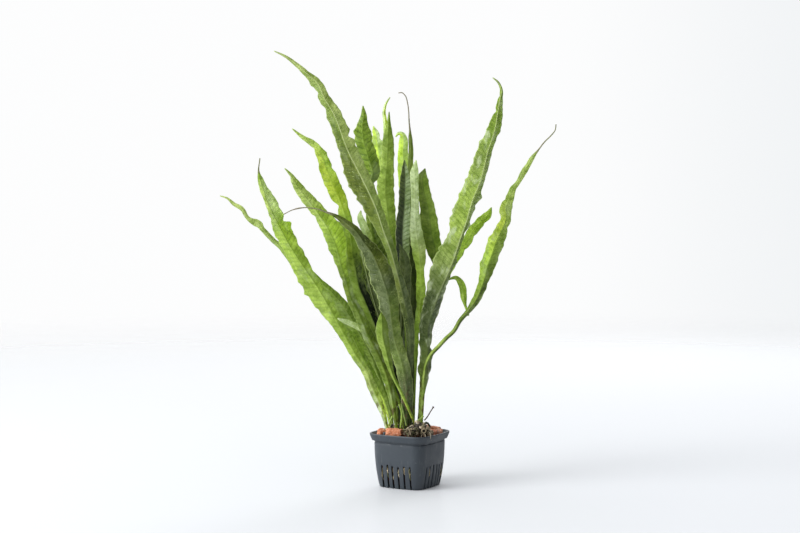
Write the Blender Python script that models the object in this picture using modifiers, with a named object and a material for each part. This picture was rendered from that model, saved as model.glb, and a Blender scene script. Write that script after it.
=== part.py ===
"""A java fern in a square net pot, as sold for an aquarium.

The origin is the centre of the pot's base, on the surface it stands on. +Z is up and -Y is the plant's front.
Lengths below are in millimetres, and MM turns them into Blender's metres.
"""

import math

import bmesh
import bpy
import numpy as np
from mathutils import Matrix, Vector

MM = 0.001

# Net pot: a standard 5 cm aquarium plant pot
POT_CLEAR_WIDTH = 50.0
POT_WALL = 1.0
POT_WIDTH = POT_CLEAR_WIDTH + 2 * POT_WALL
POT_HEIGHT = 42.5
POT_BASE_WIDTH = 39.0
POT_TURN = math.radians(-30)
RIM_BAND = 5.5
RIM_FOOT_WIDTH = 49.2
BODY_TOP_WIDTH = 45.8
BODY_CURVE = 2.3
BASE_EDGE = 0.8
RIM_RISE = 1.2
CORNER_SHARE = 0.21
CORNER_STEPS = 5
SLIT_WIDTH = 1.3
SLIT_HEIGHT = 19.0
SLIT_PITCH = 4.9
SLITS_A_SIDE = 6
SLIT_INNER_END = 14.0
SLIT_PAST_WALL = 4.0
SLIT_PAST_BASE = 1.0
GAP = 0.3

# Filling
BED_TOP = 39.6
BED_SLACK = 0.5
BED_SHOULDER = 2.0
CLAY_TOP_GAP = 0.35
GRANULE_SIDES = 6
CHIP_SHARE = 0.14
STEM_SIDES = 10

# Leaves. Their routes are drawn on the upright plane through the pot's middle, as seen from VIEW_POINT.
VIEW_POINT = Vector((-7.7, -1177.0, 213.7))
STALK_RIB = 1.25
TIP_RIB = 0.55
THINNEST = 0.38
RIB_SHOULDER = 0.7
RING_SPACING = 15.0
FEWEST_RINGS = 9
MOST_RINGS = 17

GREEN = (0.17, 0.27, 0.06)
DARK_GREEN = (0.08, 0.13, 0.04)
BRIGHT_GREEN = (0.36, 0.52, 0.11)
YELLOW_GREEN = (0.45, 0.50, 0.14)
BARK = (0.10, 0.08, 0.05)

# For each leaf its name, its colour, its turn about the pot's axis in degrees, how far the left and the right
# half fold back in degrees, and its route from base to tip. A place on the route is x, height, depth (less is
# nearer the front), and how far the blade reaches to the left and right of its midrib as it is seen.
LEAVES = (
    ("leaf_tall_left", GREEN, 0, (48, 20), (
        (-3, 48.5, -3, 1.1, 1.1), (-2, 71, -6, 1.4, 1.6), (0, 98.5, -11, 2.2, 3),
        (-0.5, 126, -19, 3.4, 4), (-4, 143.5, -24, 3.8, 4.8), (-7.5, 157.5, -26, 3.4, 4.4),
        (-11, 171, -28, 3, 3.4), (-15, 185, -30, 3.6, 3.8), (-20.5, 200, -32, 5.2, 4.8),
        (-26.5, 218, -34, 9.5, 5), (-34.5, 235.5, -37, 12, 6.3), (-41, 248.5, -39, 11, 6.8),
        (-47.5, 261, -41, 7.3, 7.5), (-53.5, 276.5, -43, 6.3, 6.3), (-56.5, 285, -44, 6.3, 6),
        (-60.5, 294, -45.5, 6.3, 5.5), (-66, 302.5, -47, 5, 4.6), (-73, 317, -49, 3.4, 3.2),
        (-79.5, 322.5, -51, 2.6, 2.4), (-88, 330, -52.5, 1.7, 1.7), (-97.5, 337, -54, 1, 1),
        (-106, 341, -55, 0.4, 0.4))),
    ("leaf_yellow_left", YELLOW_GREEN, 0, (15, 20), (
        (-9.5, 48.5, 0, 1.1, 1.1), (-11, 67, -0.5, 1.2, 1.2), (-15.5, 90.5, -1.5, 1.6, 1.6),
        (-22.5, 114, -3, 4.5, 3), (-30.5, 134, -4.5, 7.5, 4.6), (-35.5, 146, -5, 8.5, 5.6),
        (-39.5, 155, -6, 8.8, 5.6), (-42.5, 169.5, -5.5, 8, 5.6), (-44.5, 181, -5, 6.6, 5.2),
        (-46, 194.5, -5, 5, 4.6), (-49.5, 208.5, -4.5, 4.5, 4.4), (-52.5, 218, -4, 4.7, 4.7),
        (-56, 227.5, -2.5, 5.9, 5.9), (-60.5, 237, -1.5, 5.9, 5.9), (-65, 247.5, 0, 5.6, 5.6),
        (-69, 259, 2, 4, 4), (-75, 268, 3, 2.8, 2.8), (-84, 274, 4.5, 1.6, 1.6),
        (-92, 280.5, 6, 0.4, 0.4))),
    ("leaf_bright_left", BRIGHT_GREEN, 0, (20, 25), (
        (-11, 48.5, -7, 1.3, 1.3), (-13.5, 64, -8.5, 2.4, 2.4), (-16, 78, -10, 3.4, 3.4),
        (-22, 96, -12, 4, 4), (-34.5, 122, -14, 4.4, 4.4), (-40, 135.5, -15, 4.2, 4.2),
        (-45.5, 146, -15, 3.5, 3.5), (-50, 161, -16, 3.4, 3.4), (-53.5, 172.5, -16, 3.8, 4),
        (-56.5, 185, -16, 6.3, 7.5), (-62, 198.5, -16, 5.9, 11), (-69, 210.5, -16, 4.7, 7),
        (-77.5, 222, -17, 4.7, 5.5), (-84.5, 231, -18, 4.3, 4), (-90.5, 239.5, -19, 2.8, 2.8),
        (-94.5, 246, -20, 1.1, 1.1), (-98, 249.5, -20, 0.4, 0.4))),
    ("leaf_dark_centre", DARK_GREEN, 0, (25, 25), (
        (-2.2, 48.5, -10, 1.6, 1.6), (-2, 60.5, -12, 4, 4), (-2.2, 73.5, -14, 5.2, 5),
        (-6, 95.5, -16, 5.8, 5.6), (-12, 114.5, -17, 6, 6), (-14.5, 130, -18, 6.3, 6.5),
        (-16.5, 146, -19, 8.2, 8.2), (-20, 158.5, -20, 9.7, 9.7), (-25, 172.5, -20, 9, 9),
        (-30.5, 184, -21, 6.7, 6.7), (-36, 191, -22, 5.5, 5.5), (-42, 199.5, -23, 3.9, 3.9),
        (-49.5, 206, -24, 3.1, 3.1), (-58.5, 212.5, -26, 1.4, 1.4), (-66, 215.5, -27.5, 0.6, 0.6),
        (-74, 218, -28.5, 0.4, 0.4), (-82, 218.8, -29.5, 0.4, 0.4), (-87.5, 218.2, -30, 0.6, 0.6),
        (-92, 217, -30, 0.4, 0.4), (-99, 213.5, -30, 0.4, 0.4))),
    ("leaf_young_left", YELLOW_GREEN, 0, (25, 25), (
        (-5.2, 48.5, -8.2, 0.7, 0.7), (-5.8, 60, -8.4, 0.7, 0.7), (-6.6, 73, -9.6, 0.7, 0.7),
        (-10, 95, -11.5, 0.8, 0.8), (-15, 118, -13, 0.9, 0.9), (-19.5, 146, -14.5, 1.1, 1.1),
        (-25, 170, -15.5, 1.7, 1.7), (-29.5, 184, -16, 2.5, 2.5), (-33, 196, -16.5, 3.2, 3.2),
        (-36.5, 205, -17, 3, 3), (-39, 212, -17.5, 2.2, 2.2), (-38.4, 216.5, -18, 0.4, 0.4))),
    ("leaf_short_front", BRIGHT_GREEN, 0, (20, 20), (
        (3.4, 50, -13, 1, 1), (-1.9, 62.5, -20, 1.1, 1.1), (-7.9, 75.5, -26, 1.2, 1.2),
        (-13.6, 87.5, -30, 1.7, 1.7), (-16.8, 98, -33, 2.9, 2.9), (-19, 107.5, -35, 3.7, 3.7),
        (-21.4, 117.5, -37, 4.9, 4.9), (-21.8, 128.5, -39, 4.1, 4.1), (-22.5, 136.5, -40, 0.4, 0.4))),
    ("leaf_broad_left", BRIGHT_GREEN, 0, (20, 25), (
        (-18.3, 46.5, -5, 1.4, 1.4), (-20.2, 54.5, -5, 2, 2), (-23.7, 63.8, -5, 3, 3),
        (-28.7, 75, -5, 3.4, 3.4), (-34.4, 90, -5.5, 3.4, 3.4), (-43.4, 104, -5.5, 3.8, 3.8),
        (-50, 116, -5.5, 4.1, 4.6), (-58.3, 131.8, -5, 6.7, 5), (-66.9, 147, -5, 9.8, 5),
        (-73.9, 158.8, -6, 11, 3.1), (-80.9, 169, -7.5, 9.8, 4.7), (-88.9, 181, -9, 7.5, 6.3),
        (-93.8, 188.8, -10, 6.7, 6.7), (-102.4, 204.5, -12.5, 5.8, 7.5),
        (-107.4, 214.5, -15.5, 3.5, 6.7), (-111.9, 224.5, -18, 2.4, 6.3),
        (-114.8, 232.7, -20, 2.7, 3.9), (-116.8, 239.8, -21.5, 2.4, 2.4),
        (-118.4, 246.7, -23.5, 0.8, 0.8), (-117.4, 257.5, -26, 0.4, 0.4))),
    ("leaf_thin_far_left", GREEN, 0, (30, 30), (
        (-18.6, 46.5, 3.6, 1, 1), (-29.5, 79, 7, 1.4, 1.4), (-48.5, 110.5, 8.5, 1.8, 1.8),
        (-70, 142, 11.5, 2, 2), (-86.2, 165.5, 14, 2, 2), (-97.5, 182.8, 18, 2, 2),
        (-102, 188.5, 19, 2, 2), (-108, 193.8, 20.5, 2, 2), (-114, 200.3, 22, 2, 2),
        (-119.2, 206.5, 24, 2.7, 2.7), (-126.4, 210, 26.5, 1.6, 1.6), (-131.9, 218, 29, 1.7, 1.7),
        (-138.4, 222, 31, 1.4, 1.4), (-142.9, 226, 32.5, 0.8, 0.8), (-148.7, 228, 34, 0.4, 0.4))),
    ("leaf_streaky_left", GREEN, 0, (15, 15), (
        (-13.2, 46, 9, 1, 1), (-16.3, 63, 9, 1.3, 1.3), (-25, 87, 9, 2.4, 2.4),
        (-34.4, 110.5, 8.5, 5.5, 3.9), (-41.4, 123, 8, 7, 4.7), (-46.9, 132.5, 8.5, 7.4, 5.1),
        (-52.4, 141, 8.5, 6.4, 4.7), (-61, 151.5, 9, 4.6, 3.5), (-69, 159.3, 9.5, 3, 2.4),
        (-75.2, 168, 10, 0.4, 0.4))),
    ("leaf_curled_left", YELLOW_GREEN, 0, (10, 10), (
        (-7, 48.5, -5.5, 1, 1), (-6.2, 58.5, -5.5, 1, 1), (-8.5, 66, -6, 1.1, 1.1),
        (-18.7, 90.5, -8, 1.3, 1.3), (-26.5, 110.3, -9, 1.6, 1.6), (-32.8, 119.8, -9.5, 2, 2),
        (-39.5, 124.3, -9.5, 2.3, 2.3), (-48.5, 128.6, -9.5, 2, 2), (-54, 130.6, -9.5, 1.3, 1.3),
        (-56.8, 131.8, -9.5, 0.4, 0.4))),
    ("leaf_narrow_left", BRIGHT_GREEN, 0, (15, 15), (
        (-15.5, 48.2, 3, 1.1, 1.1), (-17.1, 57.5, 3, 1.7, 1.7), (-20.3, 67, 3, 3.1, 3.1),
        (-25, 76.5, 2.5, 3.9, 3.9), (-31.3, 89, 2, 3.6, 3.6), (-36.7, 100, 2, 3.5, 3.5),
        (-41.5, 109.5, 2, 3.3, 3.3), (-46.2, 119, 2, 2.4, 2.4), (-50.5, 124.3, 2, 0.4, 0.4))),
    ("leaf_tall_right", GREEN, 0, (12, 60), (
        (7.6, 49, -3, 1.3, 1.3), (9.2, 67, -4.5, 2.2, 1.6), (11.2, 78.8, -5, 3, 2.2),
        (13.1, 90.6, -6, 4, 3.5), (13.9, 102.4, -7, 5.2, 3.5), (13.5, 114.3, -8, 5.4, 3.9),
        (14.3, 126.6, -9.5, 7, 4.7), (17.8, 137, -10.5, 8.6, 5.1), (22.4, 150.2, -12, 10, 4.4),
        (28.3, 163.7, -13.5, 13.5, 3.3), (35.3, 180.8, -15.5, 14, 2), (39.2, 193.3, -17, 10.6, 2.4),
        (44.1, 206.9, -18.5, 13, 2.4), (49.2, 224.4, -20.5, 11.3, 4.7), (55.1, 239, -22, 11, 3.3),
        (58.6, 252, -24.5, 9.6, 3.7), (61.4, 264, -26.5, 8.3, 3.6), (64.9, 274, -28.5, 6.5, 3.5),
        (67.3, 283.5, -30.5, 5.5, 4.9), (68.8, 293.5, -32.5, 2.7, 4.2), (70.4, 303, -34.5, 1.8, 2.4),
        (71.6, 310.8, -35.5, 1.2, 1.1), (68.8, 317, -37, 0.8, 0.8), (64.8, 320.3, -38, 0.4, 0.4))),
    ("leaf_far_right", BRIGHT_GREEN, 0, (18, 30), (
        (9.2, 49.5, -9, 1.2, 1.2), (10.4, 71, -10.5, 1.3, 1.3), (11.5, 86.7, -12, 1.4, 1.4),
        (13.5, 97, -12.5, 1.5, 1.5), (17.4, 104, -13, 1.6, 1.6), (22.7, 109.7, -13.5, 1.6, 1.6),
        (28.7, 116.2, -14, 1.6, 1.6), (34.3, 121.4, -14.5, 1.6, 1.6), (39.9, 130.6, -15.5, 1.7, 1.7),
        (44.9, 136.3, -16, 1.9, 1.9), (50.8, 144.2, -16.5, 3.1, 3.1), (56.3, 155.7, -17.5, 3.8, 3.8),
        (59.4, 165.8, -18, 4.7, 4.7), (61, 172.8, -18.5, 6.3, 6.3), (65.3, 184.4, -19.5, 6, 6),
        (67.3, 190.8, -20, 6.7, 6.7), (71.8, 200.9, -21.5, 5.2, 5.2), (75.1, 208.8, -23, 4.1, 4.1),
        (75.5, 218.7, -24.5, 4.9, 4.9), (78.7, 226.9, -25.5, 3.3, 3.3), (80.6, 232.9, -26.5, 2.6, 2.6),
        (84.4, 238, -27.5, 1.8, 1.8), (87.3, 242.9, -28.5, 2.2, 2.2), (90, 247.9, -29.5, 2.4, 2.4),
        (93.3, 252.9, -30, 1.9, 1.9), (95.1, 256.5, -31, 1.9, 1.9), (97.9, 260.5, -31.5, 1.2, 1.2),
        (100.3, 263.5, -32, 0.7, 0.7), (105.3, 270, -33.5, 0.5, 0.5), (110.8, 275.5, -34.5, 0.45, 0.45),
        (113.8, 279.5, -35.5, 0.4, 0.4), (114.4, 284, -36, 0.4, 0.4))),
    ("leaf_small_right", BRIGHT_GREEN, 0, (15, 15), (
        (44.4, 139.5, -9.5, 0.9, 0.9), (43.5, 142.5, -8.5, 1.2, 1.2), (42.5, 148, -7, 2.4, 2.4),
        (41.8, 154.4, -6, 2.8, 2.8), (39.8, 160.3, -5, 2.5, 2.5), (36.3, 163.7, -4.5, 1.7, 1.7),
        (32.3, 163.1, -4, 0.9, 0.9), (30.4, 162, -4, 0.4, 0.4))),
    ("leaf_behind_right", YELLOW_GREEN, 0, (15, 15), (
        (8.4, 48.5, 5.5, 1, 1), (10, 67, 5, 1.1, 1.1), (11.5, 83, 4, 1.3, 1.3),
        (12.5, 106.5, 3.5, 1.9, 1.9), (14.5, 126, 3.5, 2.5, 2.5), (20, 145.8, 3, 3.1, 3.1),
        (26.1, 161.5, 3.5, 3.5, 3.5), (33.1, 175.8, 6.5, 3.9, 3.9), (40.2, 187, 8.5, 4.3, 4.3),
        (46.1, 194.5, 10.5, 3.9, 3.9), (50, 201.5, 12.5, 4.1, 4.1), (55.9, 208, 14.5, 3.9, 3.9),
        (61.4, 213.3, 16.5, 3, 3), (64, 219, 18, 0.4, 0.4))),
    ("leaf_banded_middle", GREEN, 0, (20, 20), (
        (-7.3, 48.5, 4, 1.9, 1), (-6.9, 67, 3, 2.4, 1.2), (-8.5, 90.6, 1, 1.8, 1.3),
        (-12.4, 122, -2, 1.7, 1.7), (-18.7, 153.7, -5, 2.4, 4), (-25, 181.3, -8, 3.1, 7),
        (-29.7, 201, -10, 3.5, 7), (-31.2, 215, -11, 3.5, 5), (-32.4, 228.5, -12, 3.1, 3.4),
        (-31.2, 238.5, -13, 3.1, 3.1), (-28.9, 245.7, -13, 5.5, 5.5), (-31.2, 254.3, -14, 6.9, 6.9),
        (-34, 263.8, -14, 6.5, 6.5), (-36, 270, -14, 6.7, 6.7), (-36.9, 278, -14, 6.7, 6.7),
        (-36.9, 284.3, -15, 4.1, 4.1), (-36.1, 290.6, -15, 2.6, 2.6), (-36.7, 298.4, -15, 0.4, 0.4))),
    ("leaf_middle", GREEN, 0, (20, 20), (
        (-4.2, 48.5, 6.5, 1, 1), (-4.6, 67, 6, 1.2, 1.2), (-6.1, 90.6, 5, 1.4, 1.4),
        (-9.3, 122, 4, 2.2, 2.2), (-12.4, 153.7, 1.5, 3.1, 3.1), (-14, 181.3, -1, 5.6, 3.9),
        (-15.2, 197, -2, 6.4, 4.7), (-16.3, 208.8, -2.5, 6.2, 5.5), (-17.9, 220.6, -2.5, 6.3, 6.3),
        (-19, 232.5, -3, 6.7, 6.7), (-18.8, 242, -3, 6.4, 6.4), (-17.7, 253.7, -2, 5.3, 5.3),
        (-17.1, 268.7, -0.5, 4.7, 4.7), (-17, 277, 0.5, 3.6, 3.6), (-16.6, 283, 1, 2, 2),
        (-16.2, 293.7, 2, 0.4, 0.4))),
    ("leaf_bright_middle", YELLOW_GREEN, 0, (15, 15), (
        (-6.9, 48.5, 11, 1, 1), (-7.3, 82.7, 11, 1.1, 1.1), (-10.5, 114, 11.5, 1.4, 1.4),
        (-14, 153.7, 12, 2, 2), (-16.3, 189, 13.5, 2.7, 2.7), (-18.7, 212.8, 14.5, 3.1, 3.1),
        (-20.6, 232.5, 16, 3.9, 3.9), (-22.6, 248, 17.5, 4.7, 4.7), (-24.2, 260, 19, 5.1, 5.1),
        (-25.4, 269.5, 20.5, 4.3, 4.3), (-26.5, 276.6, 21, 2.7, 2.7), (-28.6, 282.5, 22, 0.4, 0.4))),
    ("leaf_curled_middle", YELLOW_GREEN, 0, (10, 10), (
        (-3.4, 48.5, 14.5, 1, 1), (-3.8, 67, 14.5, 1.1, 1.1), (-7.7, 98.5, 15, 1.2, 1.2),
        (-11.6, 138, 17.5, 1.6, 1.6), (-14.8, 177, 20, 2, 2), (-16.3, 216.7, 24.5, 2.4, 2.4),
        (-17.1, 248, 28, 2.4, 2.4), (-18.3, 271.9, 31.5, 2, 2), (-19.3, 286, 33.5, 1.6, 1.6),
        (-20.1, 294.5, 34.5, 1.2, 1.2), (-18.7, 300, 35, 0.9, 0.9), (-15.5, 305, 36, 0.4, 0.4))),
    ("leaf_arched_middle", YELLOW_GREEN, 0, (15, 15), (
        (-0.6, 48.5, 10, 1, 1), (-1.8, 82.7, 9.5, 1.2, 1.2), (-2.6, 122, 9, 1.6, 1.6),
        (-3.4, 161.5, 9.5, 2.2, 2.2), (-4.2, 201, 11, 2.7, 2.7), (-4.9, 232.5, 13.5, 3.5, 3.5),
        (-5.3, 252, 15, 4.3, 4.3), (-5.3, 264, 14.5, 3.9, 3.9), (-5.1, 271.9, 14.5, 3.3, 3.3),
        (-6.1, 276.2, 14, 2, 2), (-8.8, 276.9, 14, 1.3, 1.3), (-11.1, 274, 14, 0.4, 0.4))),
    ("leaf_thread_middle", DARK_GREEN, 0, (20, 20), (
        (0.6, 48.5, 5, 1, 1), (0.8, 82.7, 4, 1.2, 1.2), (0.7, 122, 3, 2.6, 2.4),
        (0.8, 148, 2, 4, 5.2), (0.8, 175, 1, 4, 5), (0.6, 201, 0, 3, 3.4), (0.2, 232.5, 1.5, 2, 2),
        (0.3, 246.6, 2.5, 1.9, 1.9), (0.8, 257.7, 3, 2, 2), (0.9, 265.6, 3.5, 1.8, 1.8),
        (0.4, 272.6, 4, 1.6, 1.6), (0.1, 279, 4.5, 0.8, 0.8), (-0.6, 286.8, 5.5, 0.55, 0.55),
        (-0.9, 293.6, 6.5, 0.45, 0.45), (-1.9, 301, 7.5, 0.45, 0.45), (-3.5, 306.1, 8, 0.4, 0.4),
        (-6.2, 308.6, 8.5, 0.4, 0.4), (-8.9, 308.4, 9, 0.4, 0.4))),
    ("leaf_ribbed_middle", DARK_GREEN, 0, (20, 15), (
        (0, 48.5, -3.5, 1.1, 1.1), (0.9, 75, -2.5, 1.2, 1.2), (0.6, 106.5, -4, 1.6, 1.6),
        (-1.8, 138, -6, 2.4, 2.4), (-3.4, 161.5, -8, 3.5, 3.5), (-4.9, 177.3, -8, 4.7, 4.7),
        (-5.7, 193, -9, 5.5, 5.5), (-5.3, 205.7, -9, 5.7, 5.7), (-4.2, 219, -9, 4.9, 4.9),
        (-3.8, 230.9, -9, 4.7, 4.7), (-3.5, 241, -9, 4.2, 4.2), (-3.9, 249, -9, 2.4, 2.4),
        (-4.2, 256, -9, 0.4, 0.4))),
    ("leaf_mint_middle", BRIGHT_GREEN, 0, (12, 12), (
        (6.8, 49, 1.5, 1.1, 1.1), (8.8, 67, 1, 1.2, 1.2), (11.2, 82.7, 0, 1.3, 1.3),
        (12, 106.5, -1, 1.4, 1.4), (10, 122, -2.5, 1.6, 1.6), (8, 132.5, -4, 1.6, 1.6),
        (7.9, 139.5, -4.5, 2, 2), (8.6, 148, -6, 3.6, 3.6), (8.6, 159, -8, 3.6, 3.6),
        (8.2, 168.5, -9.5, 3, 3), (7.9, 177.3, -11, 4.6, 4.6), (7.1, 186, -12.5, 5.5, 5.5),
        (5.5, 196.2, -14, 5.2, 5.2), (4.4, 207.3, -15.5, 4.1, 4.1), (4.1, 219.8, -17, 3.1, 3.1),
        (3.9, 232.5, -19, 3, 3), (3.8, 248, -21, 3, 3), (4.9, 256, -22, 0.4, 0.4))),
    ("leaf_green_right", DARK_GREEN, 0, (12, 20), (
        (8.4, 48.5, 10.5, 1, 1), (11.5, 82.7, 11.5, 1.3, 1.3), (13.1, 106.5, 12, 1.6, 1.6),
        (15.5, 126, 10.5, 2, 2), (19, 145.8, 8.5, 2.7, 2.7), (22.1, 161.5, 7, 3.5, 3.5),
        (22.1, 177.3, 6, 5, 3.9), (19.8, 187.5, 5.5, 7.4, 5.4), (17.4, 197, 5, 7.6, 6.2),
        (15.8, 208.8, 4, 7.6, 6), (13.7, 220.6, 5, 6, 5.4), (11.1, 231.7, 6, 4.9, 4.9),
        (10, 242, 7, 4.3, 4.3), (11.9, 249.5, 8, 0.4, 0.4))),
    ("leaf_dark_middle", DARK_GREEN, 0, (15, 15), (
        (0.6, 48.5, -7, 1.1, 1.1), (1.6, 67, -6.4, 1.2, 1.2), (2.2, 90.6, -6.4, 1.4, 1.4),
        (-0.6, 122, -11, 2.4, 2.4), (-3.2, 145.8, -14, 3.9, 3.9), (-3.6, 161.5, -15, 4.6, 4.6),
        (-3.8, 175, -15, 4.3, 4.3), (-5.3, 182.8, -16, 2.7, 2.7), (-8.2, 190, -16, 0.4, 0.4))),
    ("leaf_back_tall", DARK_GREEN, 180, (20, 15), (
        (2, 48.5, -18.5, 1.1, 1.1), (8, 80, -23, 2, 2), (18, 112, -27.5, 5, 5),
        (28.5, 142, -31, 8, 8), (35, 166, -34.5, 9, 8), (39.5, 186, -38.5, 6, 5.5),
        (42.5, 202, -43, 0.4, 0.4))),
    ("leaf_back_broad", BRIGHT_GREEN, 165, (15, 25), (
        (13.5, 48.5, -13.5, 1.1, 1.1), (19, 76, -24, 1.4, 1.4), (27, 108, -38.5, 4.5, 4.5),
        (34, 138, -51, 8, 7), (39.5, 164, -62, 6.5, 7), (40, 184, -72, 3.2, 3.4),
        (38, 196, -81, 0.4, 0.4))),
    ("leaf_back_arched", GREEN, 195, (20, 20), (
        (-6.7, 48.5, -13.2, 1.1, 1.1), (-10, 78, -22, 1.3, 1.3), (-13.5, 110, -35.5, 3.4, 3.4),
        (-16, 136, -51.5, 5.6, 5.6), (-15.5, 150, -66, 5, 5), (-14, 153, -79, 2.8, 2.8),
        (-11, 148, -88, 0.4, 0.4))),
    ("leaf_back_narrow", YELLOW_GREEN, 185, (25, 25), (
        (3.6, 48.5, -22.2, 1, 1), (1, 70, -33, 1.2, 1.2), (-3, 90, -47, 2.6, 2.6),
        (-6, 104, -61, 3.4, 3.4), (-4, 112, -74, 2.6, 2.6), (0, 112, -84, 0.4, 0.4))),
    ("leaf_back_upright", DARK_GREEN, 176, (15, 20), (
        (6.5, 48.5, -13, 1, 1), (9.5, 72, -17, 3.6, 3.6), (9.5, 98, -21, 6, 6),
        (8.5, 128, -25, 7.5, 7.5), (10, 156, -29, 7, 7), (12.5, 184, -33, 5, 5), (14, 206, -38, 0.4, 0.4))),
)


def clear_scene():
    for thing in list(bpy.data.objects):
        bpy.data.objects.remove(thing, do_unlink=True)


def collection(name):
    made = bpy.data.collections.new(name)
    bpy.context.scene.collection.children.link(made)
    return made


def material(name, colour, roughness):
    made = bpy.data.materials.new(name)
    made.use_nodes = True
    shader = made.node_tree.nodes["Principled BSDF"]
    shader.inputs["Base Color"].default_value = (*colour, 1.0)
    shader.inputs["Roughness"].default_value = roughness
    shader.inputs["Metallic"].default_value = 0.0
    return made


def add_object(name, mesh_data, into, finish):
    thing = bpy.data.objects.new(name, mesh_data)
    mesh_data.materials.append(finish)
    into.objects.link(thing)
    return thing


def mesh_from_bmesh(name, bm):
    bmesh.ops.recalc_face_normals(bm, faces=bm.faces)
    made = bpy.data.meshes.new(name)
    bm.to_mesh(made)
    bm.free()
    return made


def shade_round(mesh_data, sharp_from=35):
    mesh_data.shade_smooth()
    mesh_data.set_sharp_from_angle(angle=math.radians(sharp_from))


def loft(bm, rings, cap_start=True, cap_end=True):
    """Joins rings of equal length with quads, and closes the ends that ask for it."""
    rows = [[bm.verts.new(point * MM) for point in ring] for ring in rings]
    count = len(rows[0])
    for low, high in zip(rows, rows[1:]):
        for i in range(count):
            j = (i + 1) % count
            bm.faces.new((low[i], low[j], high[j], high[i]))
    if cap_start:
        bm.faces.new(reversed(rows[0]))
    if cap_end:
        bm.faces.new(rows[-1])
    return rows


def rounded_square(width, z, radius):
    """The outline of a square with round corners, turned as the pot is."""
    middle = width / 2 - radius
    points = []
    for quarter in range(4):
        corner = Matrix.Rotation(quarter * math.pi / 2, 3, "Z") @ Vector((middle, middle, 0))
        for step in range(CORNER_STEPS + 1):
            angle = math.pi / 2 * (quarter + step / CORNER_STEPS)
            spot = corner + radius * Vector((math.cos(angle), math.sin(angle), 0))
            points.append(Matrix.Rotation(POT_TURN, 3, "Z") @ spot + Vector((0, 0, z)))
    return points


def pot_width_at(z):
    """The body's outer width under the rim band: nearly upright at the top, curving in at the bottom."""
    share = min(z / (POT_HEIGHT - RIM_BAND), 1.0)
    return POT_BASE_WIDTH + (BODY_TOP_WIDTH - POT_BASE_WIDTH) * (1 - (1 - share) ** BODY_CURVE)


def slit_cutters(into):
    """One long box for each slit. It cuts the wall and runs on under the base."""
    bm = bmesh.new()
    length = POT_WIDTH / 2 + SLIT_PAST_WALL - SLIT_INNER_END
    height = SLIT_HEIGHT + 2 * SLIT_PAST_BASE
    middle = SLIT_HEIGHT / 2 - SLIT_PAST_BASE
    for side in range(4):
        for slit in range(SLITS_A_SIDE):
            along = (slit - (SLITS_A_SIDE - 1) / 2) * SLIT_PITCH
            turned = Matrix.Rotation(POT_TURN + side * math.pi / 2, 4, "Z")
            place = Matrix.Translation(Vector((along, SLIT_INNER_END + length / 2, middle)) * MM)
            size = Matrix.Diagonal((SLIT_WIDTH * MM, length * MM, height * MM, 1))
            bmesh.ops.create_cube(bm, size=1, matrix=turned @ place @ size)
    cutter = bpy.data.objects.new("slit_cutters", mesh_from_bmesh("slit_cutters", bm))
    into.objects.link(cutter)
    cutter.hide_render = True
    cutter.display_type = "WIRE"
    return cutter


def make_pot(into, cutters):
    """The tapered pot: an open skin made thick, with slits in every side and a plain flat middle under it."""
    rim_foot = POT_HEIGHT - RIM_BAND
    profile = [(0.0, POT_BASE_WIDTH - 2 * BASE_EDGE), (BASE_EDGE, pot_width_at(BASE_EDGE))]
    profile += [(share * rim_foot, pot_width_at(share * rim_foot)) for share in (0.11, 0.27, 0.54, 1.0)]
    profile += [(rim_foot + RIM_RISE, RIM_FOOT_WIDTH), (POT_HEIGHT, POT_WIDTH)]
    bm = bmesh.new()
    rings = [rounded_square(width, z, width * CORNER_SHARE) for z, width in profile]
    loft(bm, rings, cap_end=False)
    pot = add_object(
        "net_pot",
        mesh_from_bmesh("net_pot", bm),
        into,
        material("pot_plastic", (0.05, 0.06, 0.07), 0.45),
    )
    wall = pot.modifiers.new("wall", "SOLIDIFY")
    wall.thickness = POT_WALL * MM
    wall.offset = -1
    wall.use_even_offset = True
    slits = pot.modifiers.new("slits", "BOOLEAN")
    slits.operation = "DIFFERENCE"
    slits.solver = "EXACT"
    slits.object = slit_cutters(cutters)
    return pot


def make_bed(into):
    """The packed clay inside the pot, as one body with a low heap on top."""
    bottom = POT_WALL + GAP
    room = 2 * (POT_WALL + GAP) + BED_SLACK
    rim_foot = POT_HEIGHT - RIM_BAND
    heights = (bottom, 0.16 * rim_foot, 0.38 * rim_foot, 0.65 * rim_foot, rim_foot)
    profile = [(z, pot_width_at(z) - room) for z in heights]
    profile.append((BED_TOP, BODY_TOP_WIDTH - room - 2 * BED_SHOULDER))
    bm = bmesh.new()
    loft(bm, [rounded_square(width, z, width * CORNER_SHARE) for z, width in profile])
    bed = mesh_from_bmesh("clay_bed", bm)
    return add_object("clay_bed", bed, into, material("clay", (0.55, 0.22, 0.12), 0.9))


# Clay granules that lie loose on top: name, x, y, length, thickness, turn about Z and tilt in degrees
GRANULES = (
    ("clay_granule_big", -12, -15.6, 13.5, 7.6, -14, 2),
    ("clay_granule_front_left", -22.4, -8.6, 6.2, 5.0, 40, 10),
    ("clay_granule_left", -22, -1.4, 6.6, 5.0, 110, -8),
    ("clay_granule_back_left", -15.2, 12.4, 8.4, 6.0, 35, 6),
    ("clay_granule_back", -6.4, 23.2, 7.6, 5.6, -12, 5),
    ("clay_granule_back_right", 4.4, 20, 7.0, 5.4, -32, -6),
    ("clay_granule_far_corner", 14, 15.2, 8.2, 5.8, -32, 4),
    ("clay_granule_right", 20.4, 6.4, 8.0, 5.8, -30, 5),
    ("clay_granule_right_edge", 23.4, -1.2, 6.4, 4.8, 80, -5),
    ("clay_granule_front_right", 17.4, -6.4, 7.6, 5.4, 12, 6),
    ("clay_granule_front", 15.0, -14.8, 6.6, 5.0, -35, -6),
)


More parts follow.
